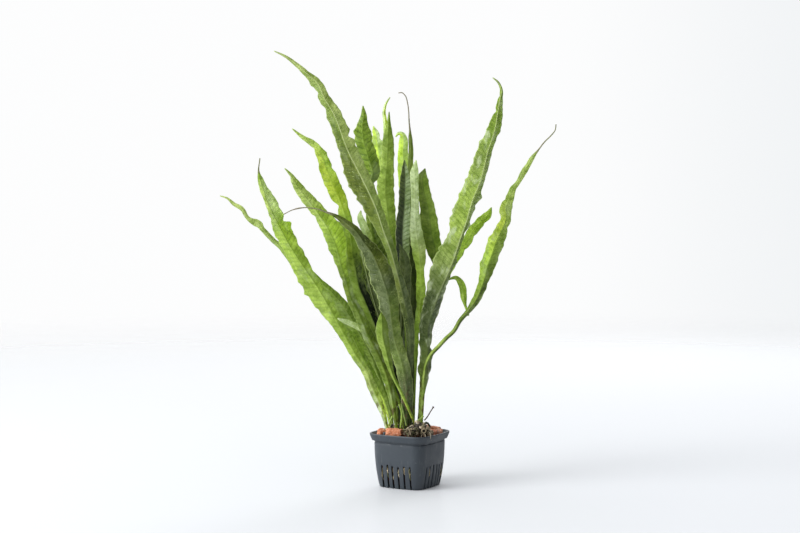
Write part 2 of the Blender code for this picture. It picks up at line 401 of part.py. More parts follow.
def end_edges(bm, laid):
    """The edges round a rod's two ends, which lie square to its length."""
    way = laid.to_3x3() @ Vector((0, 0, 1))
    square_to = math.cos(math.radians(60))
    found = []
    for edge in bm.edges:
        runs = (edge.verts[0].co - edge.verts[1].co).normalized()
        if abs(runs.dot(way)) < square_to:
            found.append(edge)
    return found


def make_granule(spec, into, finish):
    """A stubby pressed granule: a rod of a few flat sides with chipped ends, lying on the clay."""
    name, x, y, length, thickness, turn, tilt = spec
    bm = bmesh.new()
    laid = Matrix.Rotation(math.radians(turn), 4, "Z") @ Matrix.Rotation(math.radians(90 + tilt), 4, "Y")
    radius = thickness / 2 * MM
    bmesh.ops.create_cone(
        bm,
        cap_ends=True,
        segments=GRANULE_SIDES,
        radius1=radius,
        radius2=radius,
        depth=length * MM,
        matrix=laid,
    )
    chip = thickness * CHIP_SHARE * MM
    bmesh.ops.bevel(bm, geom=end_edges(bm, laid), offset=chip, segments=1, affect="EDGES")
    lowest = min(vertex.co.z for vertex in bm.verts)
    lift = Vector((x * MM, y * MM, (BED_TOP + CLAY_TOP_GAP) * MM - lowest))
    bmesh.ops.translate(bm, vec=lift, verts=bm.verts)
    return add_object(name, mesh_from_bmesh(name, bm), into, finish)


def smooth_route(places, count):
    """count places, evenly spread along one smooth curve through the given ones, and the curve's length."""
    given = np.array(places, dtype=float)
    steps = np.linalg.norm(np.diff(given[:, :3], axis=0), axis=1)
    at = np.concatenate(([0.0], np.cumsum(steps)))
    slope = np.gradient(given, at, axis=0)
    wanted = np.linspace(0.0, at[-1], count)
    found = []
    for s in wanted:
        i = min(int(np.searchsorted(at, s, side="right")) - 1, len(at) - 2)
        span = at[i + 1] - at[i]
        t = (s - at[i]) / span
        found.append(
            (2 * t**3 - 3 * t**2 + 1) * given[i]
            + (t**3 - 2 * t**2 + t) * span * slope[i]
            + (3 * t**2 - 2 * t**3) * given[i + 1]
            + (t**3 - t**2) * span * slope[i + 1]
        )
    return np.array(found), at[-1]


def into_depth(place, turn):
    """Moves a drawn place along the line of sight to its depth. Returns the point and its growth."""
    x, z, depth, left, right = place
    if turn:
        return Vector((x, depth, z)), 1.0
    drawn = Vector((x, 0.0, z))
    share = (depth - VIEW_POINT.y) / -VIEW_POINT.y
    return VIEW_POINT + (drawn - VIEW_POINT) * share, share


def leaf_ring(point, along, left, right, rib, fold):
    """Eight corners round the midrib: a round stalk where it is narrow, a folded blade where it is wide."""
    to_left = Vector((-along.z, 0.0, along.x)).normalized()
    to_front = along.cross(to_left)
    thick = max(min(rib, max(left, right)), THINNEST)
    left, right = max(left, thick), max(right, thick)
    near = RIB_SHOULDER * thick
    back_left = (left - thick) * math.tan(math.radians(fold[0]))
    back_right = (right - thick) * math.tan(math.radians(fold[1]))
    corners = (
        (left, -back_left), (near, near), (0, thick), (-near, near),
        (-right, -back_right), (-near, -near), (0, -thick), (near, -near),
    )
    return [point + to_left * across + to_front * out for across, out in corners]


def make_leaf(spec, into, finishes):
    name, colour, turn, fold, places = spec
    length = smooth_route(places, FEWEST_RINGS)[1]
    count = max(FEWEST_RINGS, min(MOST_RINGS, round(length / RING_SPACING) + 1))
    route = smooth_route(places, count)[0]
    spots = [into_depth(place, turn) for place in route]
    rings = []
    for i, (point, share) in enumerate(spots):
        before = spots[max(i - 1, 0)][0]
        after = spots[min(i + 1, count - 1)][0]
        rib = STALK_RIB + (TIP_RIB - STALK_RIB) * i / (count - 1)
        left, right = route[i][3] * share, route[i][4] * share
        rings.append(leaf_ring(point, (after - before).normalized(), left, right, rib, fold))
    bm = bmesh.new()
    loft(bm, rings)
    bmesh.ops.rotate(bm, cent=(0, 0, 0), matrix=Matrix.Rotation(math.radians(turn), 3, "Z"), verts=bm.verts)
    leaf = mesh_from_bmesh(name, bm)
    shade_round(leaf)
    return add_object(name, leaf, into, finishes[colour])


# The rhizome and its fork: name, and route as x, y, z and radius
STEMS = (
    ("rhizome", ((-15.6, 3, 44.3, 2.4), (-11, 1, 44.8, 3.2), (-4, -1, 45, 3.3), (3, -1, 45, 3.3),
                 (8.4, 2.4, 44.6, 3.2), (9.4, 8, 44, 2.8), (7, 12, 43.6, 2.2))),
    ("rhizome_front_fork", ((-1.8, -17, 43.2, 2), (1, -18.2, 45, 3.2), (4.5, -18.5, 47.6, 4.2),
                            (9, -17.6, 48.2, 4.4), (11, -19.4, 46.9, 3.4), (10.8, -23.2, 46.2, 2.6))),
)
# Thin stalks and roots: name, colour, radius, and route as x, y, z
THIN_STEMS = (
    ("young_stalk_left", GREEN, 0.65,
     ((-16.8, -9.6, 48.6), (-15.2, -9.4, 52.4), (-13.6, -9.2, 56.4))),
    ("young_stalk_middle", GREEN, 0.75,
     ((-7.2, -11.6, 47), (-6.6, -12.4, 53), (-6.5, -12.8, 59), (-8.6, -13.2, 66))),
    ("young_stalk_right", GREEN, 0.6,
     ((-2.6, -14.4, 49), (-4.6, -15.4, 57), (-6.8, -16, 66.4))),
    ("green_shoot", GREEN, 0.9,
     ((6.2, -14.4, 52.8), (8, -13.6, 54.2), (10.6, -12.8, 56.6))),
    ("dead_leaf_stalk", BARK, 0.5,
     ((11.3, -15.2, 53.4), (13.5, -14.6, 56), (16, -14, 60), (18.6, -13.4, 64))),
    ("root_dark_curl", BARK, 0.8,
     ((12.2, -14.4, 51.6), (14.2, -13.6, 50.6), (15.4, -14, 48.2), (14.4, -15.2, 46.4))),
)


def make_stem(name, places, into, finish):
    """A lumpy woody stem with blunt ends."""
    rings = []
    points = [Vector(place[:3]) for place in places]
    for i, place in enumerate(places):
        along = (points[min(i + 1, len(points) - 1)] - points[max(i - 1, 0)]).normalized()
        across = along.cross(Vector((0, 0, 1))).normalized()
        up = across.cross(along)
        ring = []
        for side in range(STEM_SIDES):
            angle = side * 2 * math.pi / STEM_SIDES
            ring.append(points[i] + place[3] * (across * math.cos(angle) + up * math.sin(angle)))
        rings.append(ring)
    bm = bmesh.new()
    loft(bm, rings)
    stem = mesh_from_bmesh(name, bm)
    shade_round(stem)
    return add_object(name, stem, into, finish)


def make_thin_stem(name, points, radius, into, finish):
    curve = bpy.data.curves.new(name, "CURVE")
    curve.dimensions = "3D"
    curve.bevel_depth = radius * MM
    curve.bevel_resolution = 2
    curve.use_fill_caps = True
    spline = curve.splines.new("POLY")
    spline.points.add(len(points) - 1)
    for place, point in zip(points, spline.points):
        point.co = (*(Vector(place) * MM), 1.0)
    return add_object(name, curve, into, finish)


def main():
    clear_scene()
    plant = collection("java_fern")
    cutters = collection("cutters")
    make_pot(plant, cutters)
    make_bed(plant)
    clay = material("loose_clay", (0.60, 0.25, 0.14), 0.85)
    for spec in GRANULES:
        make_granule(spec, plant, clay)
    finishes = {
        BARK: material("rhizome_bark", BARK, 0.8),
        GREEN: material("leaf_green", GREEN, 0.35),
        DARK_GREEN: material("leaf_dark", DARK_GREEN, 0.35),
        BRIGHT_GREEN: material("leaf_bright", BRIGHT_GREEN, 0.35),
        YELLOW_GREEN: material("leaf_yellow", YELLOW_GREEN, 0.35),
    }
    for name, places in STEMS:
        make_stem(name, places, plant, finishes[BARK])
    for name, colour, radius, points in THIN_STEMS:
        make_thin_stem(name, points, radius, plant, finishes[colour])
    for spec in LEAVES:
        make_leaf(spec, plant, finishes)


main()
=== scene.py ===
"""The looks of a java fern in a square net pot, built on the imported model's frame.

Lengths are in millimetres, and MM turns them into Blender's metres. +Z is up and -Y is the plant's front.
"""

import math
import random
from collections import namedtuple

import bpy
import numpy as np
from mathutils import Matrix, Vector, noise


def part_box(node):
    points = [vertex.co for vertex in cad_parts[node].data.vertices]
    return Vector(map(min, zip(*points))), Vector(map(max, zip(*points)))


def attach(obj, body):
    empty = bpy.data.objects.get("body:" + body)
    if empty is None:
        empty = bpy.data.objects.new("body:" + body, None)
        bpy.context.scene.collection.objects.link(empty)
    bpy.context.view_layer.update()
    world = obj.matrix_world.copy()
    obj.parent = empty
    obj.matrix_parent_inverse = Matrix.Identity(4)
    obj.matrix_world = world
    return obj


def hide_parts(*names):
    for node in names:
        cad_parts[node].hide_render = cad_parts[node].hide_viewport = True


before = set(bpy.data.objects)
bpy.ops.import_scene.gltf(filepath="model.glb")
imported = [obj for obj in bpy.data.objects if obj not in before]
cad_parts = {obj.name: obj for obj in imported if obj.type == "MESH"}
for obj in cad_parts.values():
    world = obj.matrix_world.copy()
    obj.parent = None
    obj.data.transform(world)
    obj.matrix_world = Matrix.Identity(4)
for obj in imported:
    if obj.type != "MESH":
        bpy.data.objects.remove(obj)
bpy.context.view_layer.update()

MM = 0.001
BODY = "root"

# Net pot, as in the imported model
POT_WALL = 1.0
POT_WIDTH = 52.0
POT_HEIGHT = 42.5
POT_BASE_WIDTH = 39.0
POT_TURN = math.radians(-30)
RIM_BAND = 5.5
RIM_FOOT = POT_HEIGHT - RIM_BAND
RIM_FOOT_WIDTH = 49.2
BODY_TOP_WIDTH = 45.8
BODY_CURVE = 2.3
CORNER_SHARE = 0.21
SLIT_WIDTH = 1.3
SLIT_HEIGHT = 19.0
SLIT_PITCH = 4.9
SLITS_A_SIDE = 6
SLIT_INNER_END = 14.0
SLIT_OUTER_END = POT_WIDTH / 2 + 4

# The pot's finer shape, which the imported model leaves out
GROOVE_DROP = 1.5
GROOVE_DEPTH = 0.35
CORNER_STEPS = 12
SIDE_STEPS = 8
SIDE_BULGE = 0.8
POT_EDGE = 0.14

# Filling
BED_TOP = 39.6
HEART_GAP = 1.6
TOP_MARGIN = 6.5
TOP_GRANULES = 200
WALL_GRANULES = 26
LOOSE_SWELL = 1.02
LOOSE_DETAIL = 36
STONE_DETAIL = 14
BED_DETAIL = 8
GRAIN_DETAIL = 5
GREY_STONE_PLACE = (-19.2, -11.6, 42.2)
GREY_STONE = (0.14, 0.46, 0.95)
# Near-black tint of the clay heart inside the pot: painted shade behind the slits
HEART_SHADE = (0.10, 0.09, 0.08)

# Rhizome and roots
STEM_ROWS = 90
STEM_SIDES = 40
RIM_ROWS = 6
STUMPS = 75
THIN_ROWS = 36
FINE_ROOTS = 150
ROOT_GRAINS = 150
CLUMP_MIDDLE = (15.2, -17.4, 43.6)
CLUMP_REACH = (2.7, 2.2, 3.2)

# Leaves. The view point is the camera's place, from which the leaves' routes are drawn
VIEW_POINT = np.array((-7.7, -1177.0, 213.7))
STALK_RIB = 1.25
TIP_RIB = 0.55
THINNEST = 0.38
SUNK_BASE = 6.0
ROW_SPACING = 1.15
COLUMNS_A_SIDE = 11
COLUMN_CROWDING = 1.3
BLADE_HALF_THICK = 0.16
BLADE_TO_RIB = (1.3, 3.0)
VEIN_SLANT = 0.55
VEIN_RISE = 2.2
MARGIN_WAVES = (26.0, 13.0, 8.0)
EDGE_WAVES = (11.0, 6.3, 4.1)
EDGE_WAVE_SHARE = 0.075
PUCKER_DEPTH = 0.13
PUCKER_SCALE = 0.42
DRIED_WIDTHS = (-1.3, -0.6)
PATTERN_SHIFT = 400.0

# Studio, in metres
FLOOR_REACH = 4.0
FLOOR_FADE = (0.1, 2.2)
CAMERA_LENS = 67.5
CAMERA_TILT = math.radians(88)

# Palette of leaf colours, as albedo. The darkest tones are also painted shade on leaves and halves that lie
# in shade, and the two palest greens are pale tones raised as painted light on parts that lie in shade.
PALETTE = {
    "deep": (0.026, 0.042, 0.012),
    "dark": (0.070, 0.100, 0.020),
    "slate": (0.130, 0.172, 0.060),
    "olive": (0.160, 0.205, 0.028),
    "mid": (0.200, 0.280, 0.042),
    "moss": (0.255, 0.345, 0.080),
    "fresh": (0.320, 0.450, 0.072),
    "bright": (0.490, 0.630, 0.140),
    "yellow": (0.540, 0.620, 0.090),
    "lime": (0.580, 0.760, 0.120),
    # painted light: a pale lime raised for parts that lie in shade, over their own pale colour
    "glow": (0.800, 0.950, 0.200),
    # painted light: a pale grey-green raised for parts that lie in shade, over their own pale colour
    "frost": (0.800, 0.880, 0.600),
    # painted shade: near-black for leaves in the dark gaps between others
    "ink": (0.012, 0.020, 0.010),
    "sage": (0.370, 0.475, 0.135),
    "pale": (0.540, 0.630, 0.230),
    "mint": (0.540, 0.650, 0.370),
    "brown": (0.110, 0.080, 0.052),
    "husk": (0.330, 0.280, 0.210),
}

# One leaf a group: name, turn about the pot's axis in degrees, how far the left and the right half fold back
# in degrees, and its route from base to tip. A place on the route is x, height, depth (less is nearer the
# front), and how far the blade reaches from its midrib as it is seen: left and right, or one number for both.
LEAVES = (
    ("leaf_tall_left", 0, (48, 20), (
        (-3, 48.5, -3, 1.1), (-2, 71, -6, 1.4, 1.6), (0, 98.5, -11, 2.2, 3), (-0.5, 126, -19, 3.4, 4),
        (-4, 143.5, -24, 3.8, 4.8), (-7.5, 157.5, -26, 3.4, 4.4), (-11, 171, -28, 3, 3.4),
        (-15, 185, -30, 3.6, 3.8), (-20.5, 200, -32, 5.2, 4.8), (-26.5, 218, -34, 9.5, 5),
        (-34.5, 235.5, -37, 12, 6.3), (-41, 248.5, -39, 11, 6.8), (-47.5, 261, -41, 7.3, 7.5),
        (-53.5, 276.5, -43, 6.3), (-56.5, 285, -44, 6.3, 6), (-60.5, 294, -45.5, 6.3, 5.5),
        (-66, 302.5, -47, 5, 4.6), (-73, 317, -49, 3.4, 3.2), (-79.5, 322.5, -51, 2.6, 2.4),
        (-88, 330, -52.5, 1.7), (-97.5, 337, -54, 1), (-106, 341, -55, 0.4))),
    ("leaf_yellow_left", 0, (15, 20), (
        (-9.5, 48.5, 0, 1.1), (-11, 67, -0.5, 1.2), (-15.5, 90.5, -1.5, 1.6), (-22.5, 114, -3, 4.5, 3),
        (-30.5, 134, -4.5, 7.5, 4.6), (-35.5, 146, -5, 8.5, 5.6), (-39.5, 155, -6, 8.8, 5.6),
        (-42.5, 169.5, -5.5, 8, 5.6), (-44.5, 181, -5, 6.6, 5.2), (-46, 194.5, -5, 5, 4.6),
        (-49.5, 208.5, -4.5, 4.5, 4.4), (-52.5, 218, -4, 4.7), (-56, 227.5, -2.5, 5.9),
        (-60.5, 237, -1.5, 5.9), (-65, 247.5, 0, 5.6), (-69, 259, 2, 4), (-75, 268, 3, 2.8),
        (-84, 274, 4.5, 1.6), (-92, 280.5, 6, 0.4))),
    ("leaf_bright_left", 0, (20, 25), (
        (-11, 48.5, -7, 1.3), (-13.5, 64, -8.5, 2.4), (-16, 78, -10, 3.4), (-22, 96, -12, 4),
        (-34.5, 122, -14, 4.4), (-40, 135.5, -15, 4.2), (-45.5, 146, -15, 3.5), (-50, 161, -16, 3.4),
        (-53.5, 172.5, -16, 3.8, 4), (-56.5, 185, -16, 6.3, 7.5), (-62, 198.5, -16, 5.9, 11),
        (-69, 210.5, -16, 4.7, 7), (-77.5, 222, -17, 4.7, 5.5), (-84.5, 231, -18, 4.3, 4),
        (-90.5, 239.5, -19, 2.8), (-94.5, 246, -20, 1.1), (-98, 249.5, -20, 0.4))),
    ("leaf_dark_centre", 0, (25, 25), (
        (-2.2, 48.5, -10, 1.6), (-2, 60.5, -12, 4), (-2.2, 73.5, -14, 5.2, 5), (-6, 95.5, -16, 5.8, 5.6),
        (-12, 114.5, -17, 6), (-14.5, 130, -18, 6.3, 6.5), (-16.5, 146, -19, 8.2), (-20, 158.5, -20, 9.7),
        (-25, 172.5, -20, 9), (-30.5, 184, -21, 6.7), (-36, 191, -22, 5.5), (-42, 199.5, -23, 3.9),
        (-49.5, 206, -24, 3.1), (-58.5, 212.5, -26, 1.4), (-66, 215.5, -27.5, 0.6), (-74, 218, -28.5, 0.4),
        (-82, 218.8, -29.5, 0.4), (-87.5, 218.2, -30, 0.6), (-92, 217, -30, 0.4), (-99, 213.5, -30, 0.4))),
    ("leaf_young_left", 0, (25, 25), (
        (-5.2, 48.5, -8.2, 0.7), (-5.8, 60, -8.4, 0.7), (-6.6, 73, -9.6, 0.7), (-10, 95, -11.5, 0.8),
        (-15, 118, -13, 0.9), (-19.5, 146, -14.5, 1.1), (-25, 170, -15.5, 1.7), (-29.5, 184, -16, 2.5),
        (-33, 196, -16.5, 3.2), (-36.5, 205, -17, 3), (-39, 212, -17.5, 2.2), (-38.4, 216.5, -18, 0.4))),
    ("leaf_short_front", 0, (20, 20), (
        (3.4, 50, -13, 1), (-1.9, 62.5, -20, 1.1), (-7.9, 75.5, -26, 1.2), (-13.6, 87.5, -30, 1.7),
        (-16.8, 98, -33, 2.9), (-19, 107.5, -35, 3.7), (-21.4, 117.5, -37, 4.9), (-21.8, 128.5, -39, 4.1),
        (-22.5, 136.5, -40, 0.4))),
    ("leaf_broad_left", 0, (20, 25), (
        (-18.3, 46.5, -5, 1.4), (-20.2, 54.5, -5, 2), (-23.7, 63.8, -5, 3), (-28.7, 75, -5, 3.4),
        (-34.4, 90, -5.5, 3.4), (-43.4, 104, -5.5, 3.8), (-50, 116, -5.5, 4.1, 4.6),
        (-58.3, 131.8, -5, 6.7, 5), (-66.9, 147, -5, 9.8, 5), (-73.9, 158.8, -6, 11, 3.1),
        (-80.9, 169, -7.5, 9.8, 4.7), (-88.9, 181, -9, 7.5, 6.3), (-93.8, 188.8, -10, 6.7),
        (-102.4, 204.5, -12.5, 5.8, 7.5), (-107.4, 214.5, -15.5, 3.5, 6.7), (-111.9, 224.5, -18, 2.4, 6.3),
        (-114.8, 232.7, -20, 2.7, 3.9), (-116.8, 239.8, -21.5, 2.4), (-118.4, 246.7, -23.5, 0.8),
        (-117.4, 257.5, -26, 0.4))),
    ("leaf_thin_far_left", 0, (30, 30), (
        (-18.6, 46.5, 3.6, 1), (-29.5, 79, 7, 1.4), (-48.5, 110.5, 8.5, 1.8), (-70, 142, 11.5, 2),
        (-86.2, 165.5, 14, 2), (-97.5, 182.8, 18, 2), (-102, 188.5, 19, 2), (-108, 193.8, 20.5, 2),
        (-114, 200.3, 22, 2), (-119.2, 206.5, 24, 2.7), (-126.4, 210, 26.5, 1.6), (-131.9, 218, 29, 1.7),
        (-138.4, 222, 31, 1.4), (-142.9, 226, 32.5, 0.8), (-148.7, 228, 34, 0.4))),
    ("leaf_streaky_left", 0, (15, 15), (
        (-13.2, 46, 9, 1), (-16.3, 63, 9, 1.3), (-25, 87, 9, 2.4), (-34.4, 110.5, 8.5, 5.5, 3.9),
        (-41.4, 123, 8, 7, 4.7), (-46.9, 132.5, 8.5, 7.4, 5.1), (-52.4, 141, 8.5, 6.4, 4.7),
        (-61, 151.5, 9, 4.6, 3.5), (-69, 159.3, 9.5, 3, 2.4), (-75.2, 168, 10, 0.4))),
    ("leaf_curled_left", 0, (10, 10), (
        (-7, 48.5, -5.5, 1), (-6.2, 58.5, -5.5, 1), (-8.5, 66, -6, 1.1), (-18.7, 90.5, -8, 1.3),
        (-26.5, 110.3, -9, 1.6), (-32.8, 119.8, -9.5, 2), (-39.5, 124.3, -9.5, 2.3),
        (-48.5, 128.6, -9.5, 2), (-54, 130.6, -9.5, 1.3), (-56.8, 131.8, -9.5, 0.4))),
    ("leaf_narrow_left", 0, (15, 15), (
        (-15.5, 48.2, 3, 1.1), (-17.1, 57.5, 3, 1.7), (-20.3, 67, 3, 3.1), (-25, 76.5, 2.5, 3.9),
        (-31.3, 89, 2, 3.6), (-36.7, 100, 2, 3.5), (-41.5, 109.5, 2, 3.3), (-46.2, 119, 2, 2.4),
        (-50.5, 124.3, 2, 0.4))),
    ("leaf_tall_right", 0, (12, 60), (
        (7.6, 49, -3, 1.3), (9.2, 67, -4.5, 2.2, 1.6), (11.2, 78.8, -5, 3, 2.2), (13.1, 90.6, -6, 4, 3.5),
        (13.9, 102.4, -7, 5.2, 3.5), (13.5, 114.3, -8, 5.4, 3.9), (14.3, 126.6, -9.5, 7, 4.7),
        (17.8, 137, -10.5, 8.6, 5.1), (22.4, 150.2, -12, 10, 4.4), (28.3, 163.7, -13.5, 13.5, 3.3),
        (35.3, 180.8, -15.5, 14, 2), (39.2, 193.3, -17, 10.6, 2.4), (44.1, 206.9, -18.5, 13, 2.4),
        (49.2, 224.4, -20.5, 11.3, 4.7), (55.1, 239, -22, 11, 3.3), (58.6, 252, -24.5, 9.6, 3.7),
        (61.4, 264, -26.5, 8.3, 3.6), (64.9, 274, -28.5, 6.5, 3.5), (67.3, 283.5, -30.5, 5.5, 4.9),
        (68.8, 293.5, -32.5, 2.7, 4.2), (70.4, 303, -34.5, 1.8, 2.4), (71.6, 310.8, -35.5, 1.2, 1.1),
        (68.8, 317, -37, 0.8), (64.8, 320.3, -38, 0.4))),
    ("leaf_far_right", 0, (18, 30), (
        (9.2, 49.5, -9, 1.2), (10.4, 71, -10.5, 1.3), (11.5, 86.7, -12, 1.4), (13.5, 97, -12.5, 1.5),
        (17.4, 104, -13, 1.6), (22.7, 109.7, -13.5, 1.6), (28.7, 116.2, -14, 1.6),
        (34.3, 121.4, -14.5, 1.6), (39.9, 130.6, -15.5, 1.7), (44.9, 136.3, -16, 1.9),
        (50.8, 144.2, -16.5, 3.1), (56.3, 155.7, -17.5, 3.8), (59.4, 165.8, -18, 4.7),
        (61, 172.8, -18.5, 6.3), (65.3, 184.4, -19.5, 6), (67.3, 190.8, -20, 6.7),
        (71.8, 200.9, -21.5, 5.2), (75.1, 208.8, -23, 4.1), (75.5, 218.7, -24.5, 4.9),
        (78.7, 226.9, -25.5, 3.3), (80.6, 232.9, -26.5, 2.6), (84.4, 238, -27.5, 1.8),
        (87.3, 242.9, -28.5, 2.2), (90, 247.9, -29.5, 2.4), (93.3, 252.9, -30, 1.9),
        (95.1, 256.5, -31, 1.9), (97.9, 260.5, -31.5, 1.2), (100.3, 263.5, -32, 0.7),
        (105.3, 270, -33.5, 0.5), (110.8, 275.5, -34.5, 0.45), (113.8, 279.5, -35.5, 0.4),
        (114.4, 284, -36, 0.4))),
    ("leaf_small_right", 0, (15, 15), (
        (44.4, 139.5, -9.5, 0.9), (43.5, 142.5, -8.5, 1.2), (42.5, 148, -7, 2.4), (41.8, 154.4, -6, 2.8),
        (39.8, 160.3, -5, 2.5), (36.3, 163.7, -4.5, 1.7), (32.3, 163.1, -4, 0.9), (30.4, 162, -4, 0.4))),
    ("leaf_behind_right", 0, (15, 15), (
        (8.4, 48.5, 5.5, 1), (10, 67, 5, 1.1), (11.5, 83, 4, 1.3), (12.5, 106.5, 3.5, 1.9),
        (14.5, 126, 3.5, 2.5), (20, 145.8, 3, 3.1), (26.1, 161.5, 3.5, 3.5), (33.1, 175.8, 6.5, 3.9),
        (40.2, 187, 8.5, 4.3), (46.1, 194.5, 10.5, 3.9), (50, 201.5, 12.5, 4.1), (55.9, 208, 14.5, 3.9),
        (61.4, 213.3, 16.5, 3), (64, 219, 18, 0.4))),
    ("leaf_banded_middle", 0, (20, 20), (
        (-7.3, 48.5, 4, 1.9, 1), (-6.9, 67, 3, 2.4, 1.2), (-8.5, 90.6, 1, 1.8, 1.3), (-12.4, 122, -2, 1.7),
        (-18.7, 153.7, -5, 2.4, 4), (-25, 181.3, -8, 3.1, 7), (-29.7, 201, -10, 3.5, 7),
        (-31.2, 215, -11, 3.5, 5), (-32.4, 228.5, -12, 3.1, 3.4), (-31.2, 238.5, -13, 3.1),
        (-28.9, 245.7, -13, 5.5), (-31.2, 254.3, -14, 6.9), (-34, 263.8, -14, 6.5), (-36, 270, -14, 6.7),
        (-36.9, 278, -14, 6.7), (-36.9, 284.3, -15, 4.1), (-36.1, 290.6, -15, 2.6),
        (-36.7, 298.4, -15, 0.4))),
    ("leaf_middle", 0, (20, 20), (
        (-4.2, 48.5, 6.5, 1), (-4.6, 67, 6, 1.2), (-6.1, 90.6, 5, 1.4), (-9.3, 122, 4, 2.2),
        (-12.4, 153.7, 1.5, 3.1), (-14, 181.3, -1, 5.6, 3.9), (-15.2, 197, -2, 6.4, 4.7),
        (-16.3, 208.8, -2.5, 6.2, 5.5), (-17.9, 220.6, -2.5, 6.3), (-19, 232.5, -3, 6.7),
        (-18.8, 242, -3, 6.4), (-17.7, 253.7, -2, 5.3), (-17.1, 268.7, -0.5, 4.7), (-17, 277, 0.5, 3.6),
        (-16.6, 283, 1, 2), (-16.2, 293.7, 2, 0.4))),
    ("leaf_bright_middle", 0, (15, 15), (
        (-6.9, 48.5, 11, 1), (-7.3, 82.7, 11, 1.1), (-10.5, 114, 11.5, 1.4), (-14, 153.7, 12, 2),
        (-16.3, 189, 13.5, 2.7), (-18.7, 212.8, 14.5, 3.1), (-20.6, 232.5, 16, 3.9),
        (-22.6, 248, 17.5, 4.7), (-24.2, 260, 19, 5.1), (-25.4, 269.5, 20.5, 4.3), (-26.5, 276.6, 21, 2.7),
        (-28.6, 282.5, 22, 0.4))),
    ("leaf_curled_middle", 0, (10, 10), (
        (-3.4, 48.5, 14.5, 1), (-3.8, 67, 14.5, 1.1), (-7.7, 98.5, 15, 1.2), (-11.6, 138, 17.5, 1.6),
        (-14.8, 177, 20, 2), (-16.3, 216.7, 24.5, 2.4), (-17.1, 248, 28, 2.4), (-18.3, 271.9, 31.5, 2),
        (-19.3, 286, 33.5, 1.6), (-20.1, 294.5, 34.5, 1.2), (-18.7, 300, 35, 0.9), (-15.5, 305, 36, 0.4))),
    ("leaf_arched_middle", 0, (15, 15), (
        (-0.6, 48.5, 10, 1), (-1.8, 82.7, 9.5, 1.2), (-2.6, 122, 9, 1.6), (-3.4, 161.5, 9.5, 2.2),
        (-4.2, 201, 11, 2.7), (-4.9, 232.5, 13.5, 3.5), (-5.3, 252, 15, 4.3), (-5.3, 264, 14.5, 3.9),
        (-5.1, 271.9, 14.5, 3.3), (-6.1, 276.2, 14, 2), (-8.8, 276.9, 14, 1.3), (-11.1, 274, 14, 0.4))),
    ("leaf_thread_middle", 0, (20, 20), (
        (0.6, 48.5, 5, 1), (0.8, 82.7, 4, 1.2), (0.7, 122, 3, 2.6, 2.4), (0.8, 148, 2, 4, 5.2),
        (0.8, 175, 1, 4, 5), (0.6, 201, 0, 3, 3.4), (0.2, 232.5, 1.5, 2), (0.3, 246.6, 2.5, 1.9),
        (0.8, 257.7, 3, 2), (0.9, 265.6, 3.5, 1.8), (0.4, 272.6, 4, 1.6), (0.1, 279, 4.5, 0.8),
        (-0.6, 286.8, 5.5, 0.55), (-0.9, 293.6, 6.5, 0.45), (-1.9, 301, 7.5, 0.45), (-3.5, 306.1, 8, 0.4),
        (-6.2, 308.6, 8.5, 0.4), (-8.9, 308.4, 9, 0.4))),
    ("leaf_ribbed_middle", 0, (20, 15), (
        (0, 48.5, -3.5, 1.1), (0.9, 75, -2.5, 1.2), (0.6, 106.5, -4, 1.6), (-1.8, 138, -6, 2.4),
        (-3.4, 161.5, -8, 3.5), (-4.9, 177.3, -8, 4.7), (-5.7, 193, -9, 5.5), (-5.3, 205.7, -9, 5.7),
        (-4.2, 219, -9, 4.9), (-3.8, 230.9, -9, 4.7), (-3.5, 241, -9, 4.2), (-3.9, 249, -9, 2.4),
        (-4.2, 256, -9, 0.4))),
    ("leaf_mint_middle", 0, (12, 12), (
        (6.8, 49, 1.5, 1.1), (8.8, 67, 1, 1.2), (11.2, 82.7, 0, 1.3), (12, 106.5, -1, 1.4),
        (10, 122, -2.5, 1.6), (8, 132.5, -4, 1.6), (7.9, 139.5, -4.5, 2), (8.6, 148, -6, 3.6),
        (8.6, 159, -8, 3.6), (8.2, 168.5, -9.5, 3), (7.9, 177.3, -11, 4.6), (7.1, 186, -12.5, 5.5),
        (5.5, 196.2, -14, 5.2), (4.4, 207.3, -15.5, 4.1), (4.1, 219.8, -17, 3.1), (3.9, 232.5, -19, 3),
        (3.8, 248, -21, 3), (4.9, 256, -22, 0.4))),
    ("leaf_green_right", 0, (12, 20), (
        (8.4, 48.5, 10.5, 1), (11.5, 82.7, 11.5, 1.3), (13.1, 106.5, 12, 1.6), (15.5, 126, 10.5, 2),
        (19, 145.8, 8.5, 2.7), (22.1, 161.5, 7, 3.5), (22.1, 177.3, 6, 5, 3.9),
        (19.8, 187.5, 5.5, 7.4, 5.4), (17.4, 197, 5, 7.6, 6.2), (15.8, 208.8, 4, 7.6, 6),
        (13.7, 220.6, 5, 6, 5.4), (11.1, 231.7, 6, 4.9), (10, 242, 7, 4.3), (11.9, 249.5, 8, 0.4))),
    ("leaf_dark_middle", 0, (15, 15), (
        (0.6, 48.5, -7, 1.1), (1.6, 67, -6.4, 1.2), (2.2, 90.6, -6.4, 1.4), (-0.6, 122, -11, 2.4),
        (-3.2, 145.8, -14, 3.9), (-3.6, 161.5, -15, 4.6), (-3.8, 175, -15, 4.3), (-5.3, 182.8, -16, 2.7),
        (-8.2, 190, -16, 0.4))),
    ("leaf_back_tall", 180, (20, 15), (
        (2, 48.5, -18.5, 1.1), (8, 80, -23, 2), (18, 112, -27.5, 5), (28.5, 142, -31, 8),
        (35, 166, -34.5, 9, 8), (39.5, 186, -38.5, 6, 5.5), (42.5, 202, -43, 0.4))),
    ("leaf_back_broad", 165, (15, 25), (
        (13.5, 48.5, -13.5, 1.1), (19, 76, -24, 1.4), (27, 108, -38.5, 4.5), (34, 138, -51, 8, 7),
        (39.5, 164, -62, 6.5, 7), (40, 184, -72, 3.2, 3.4), (38, 196, -81, 0.4))),
    ("leaf_back_arched", 195, (20, 20), (
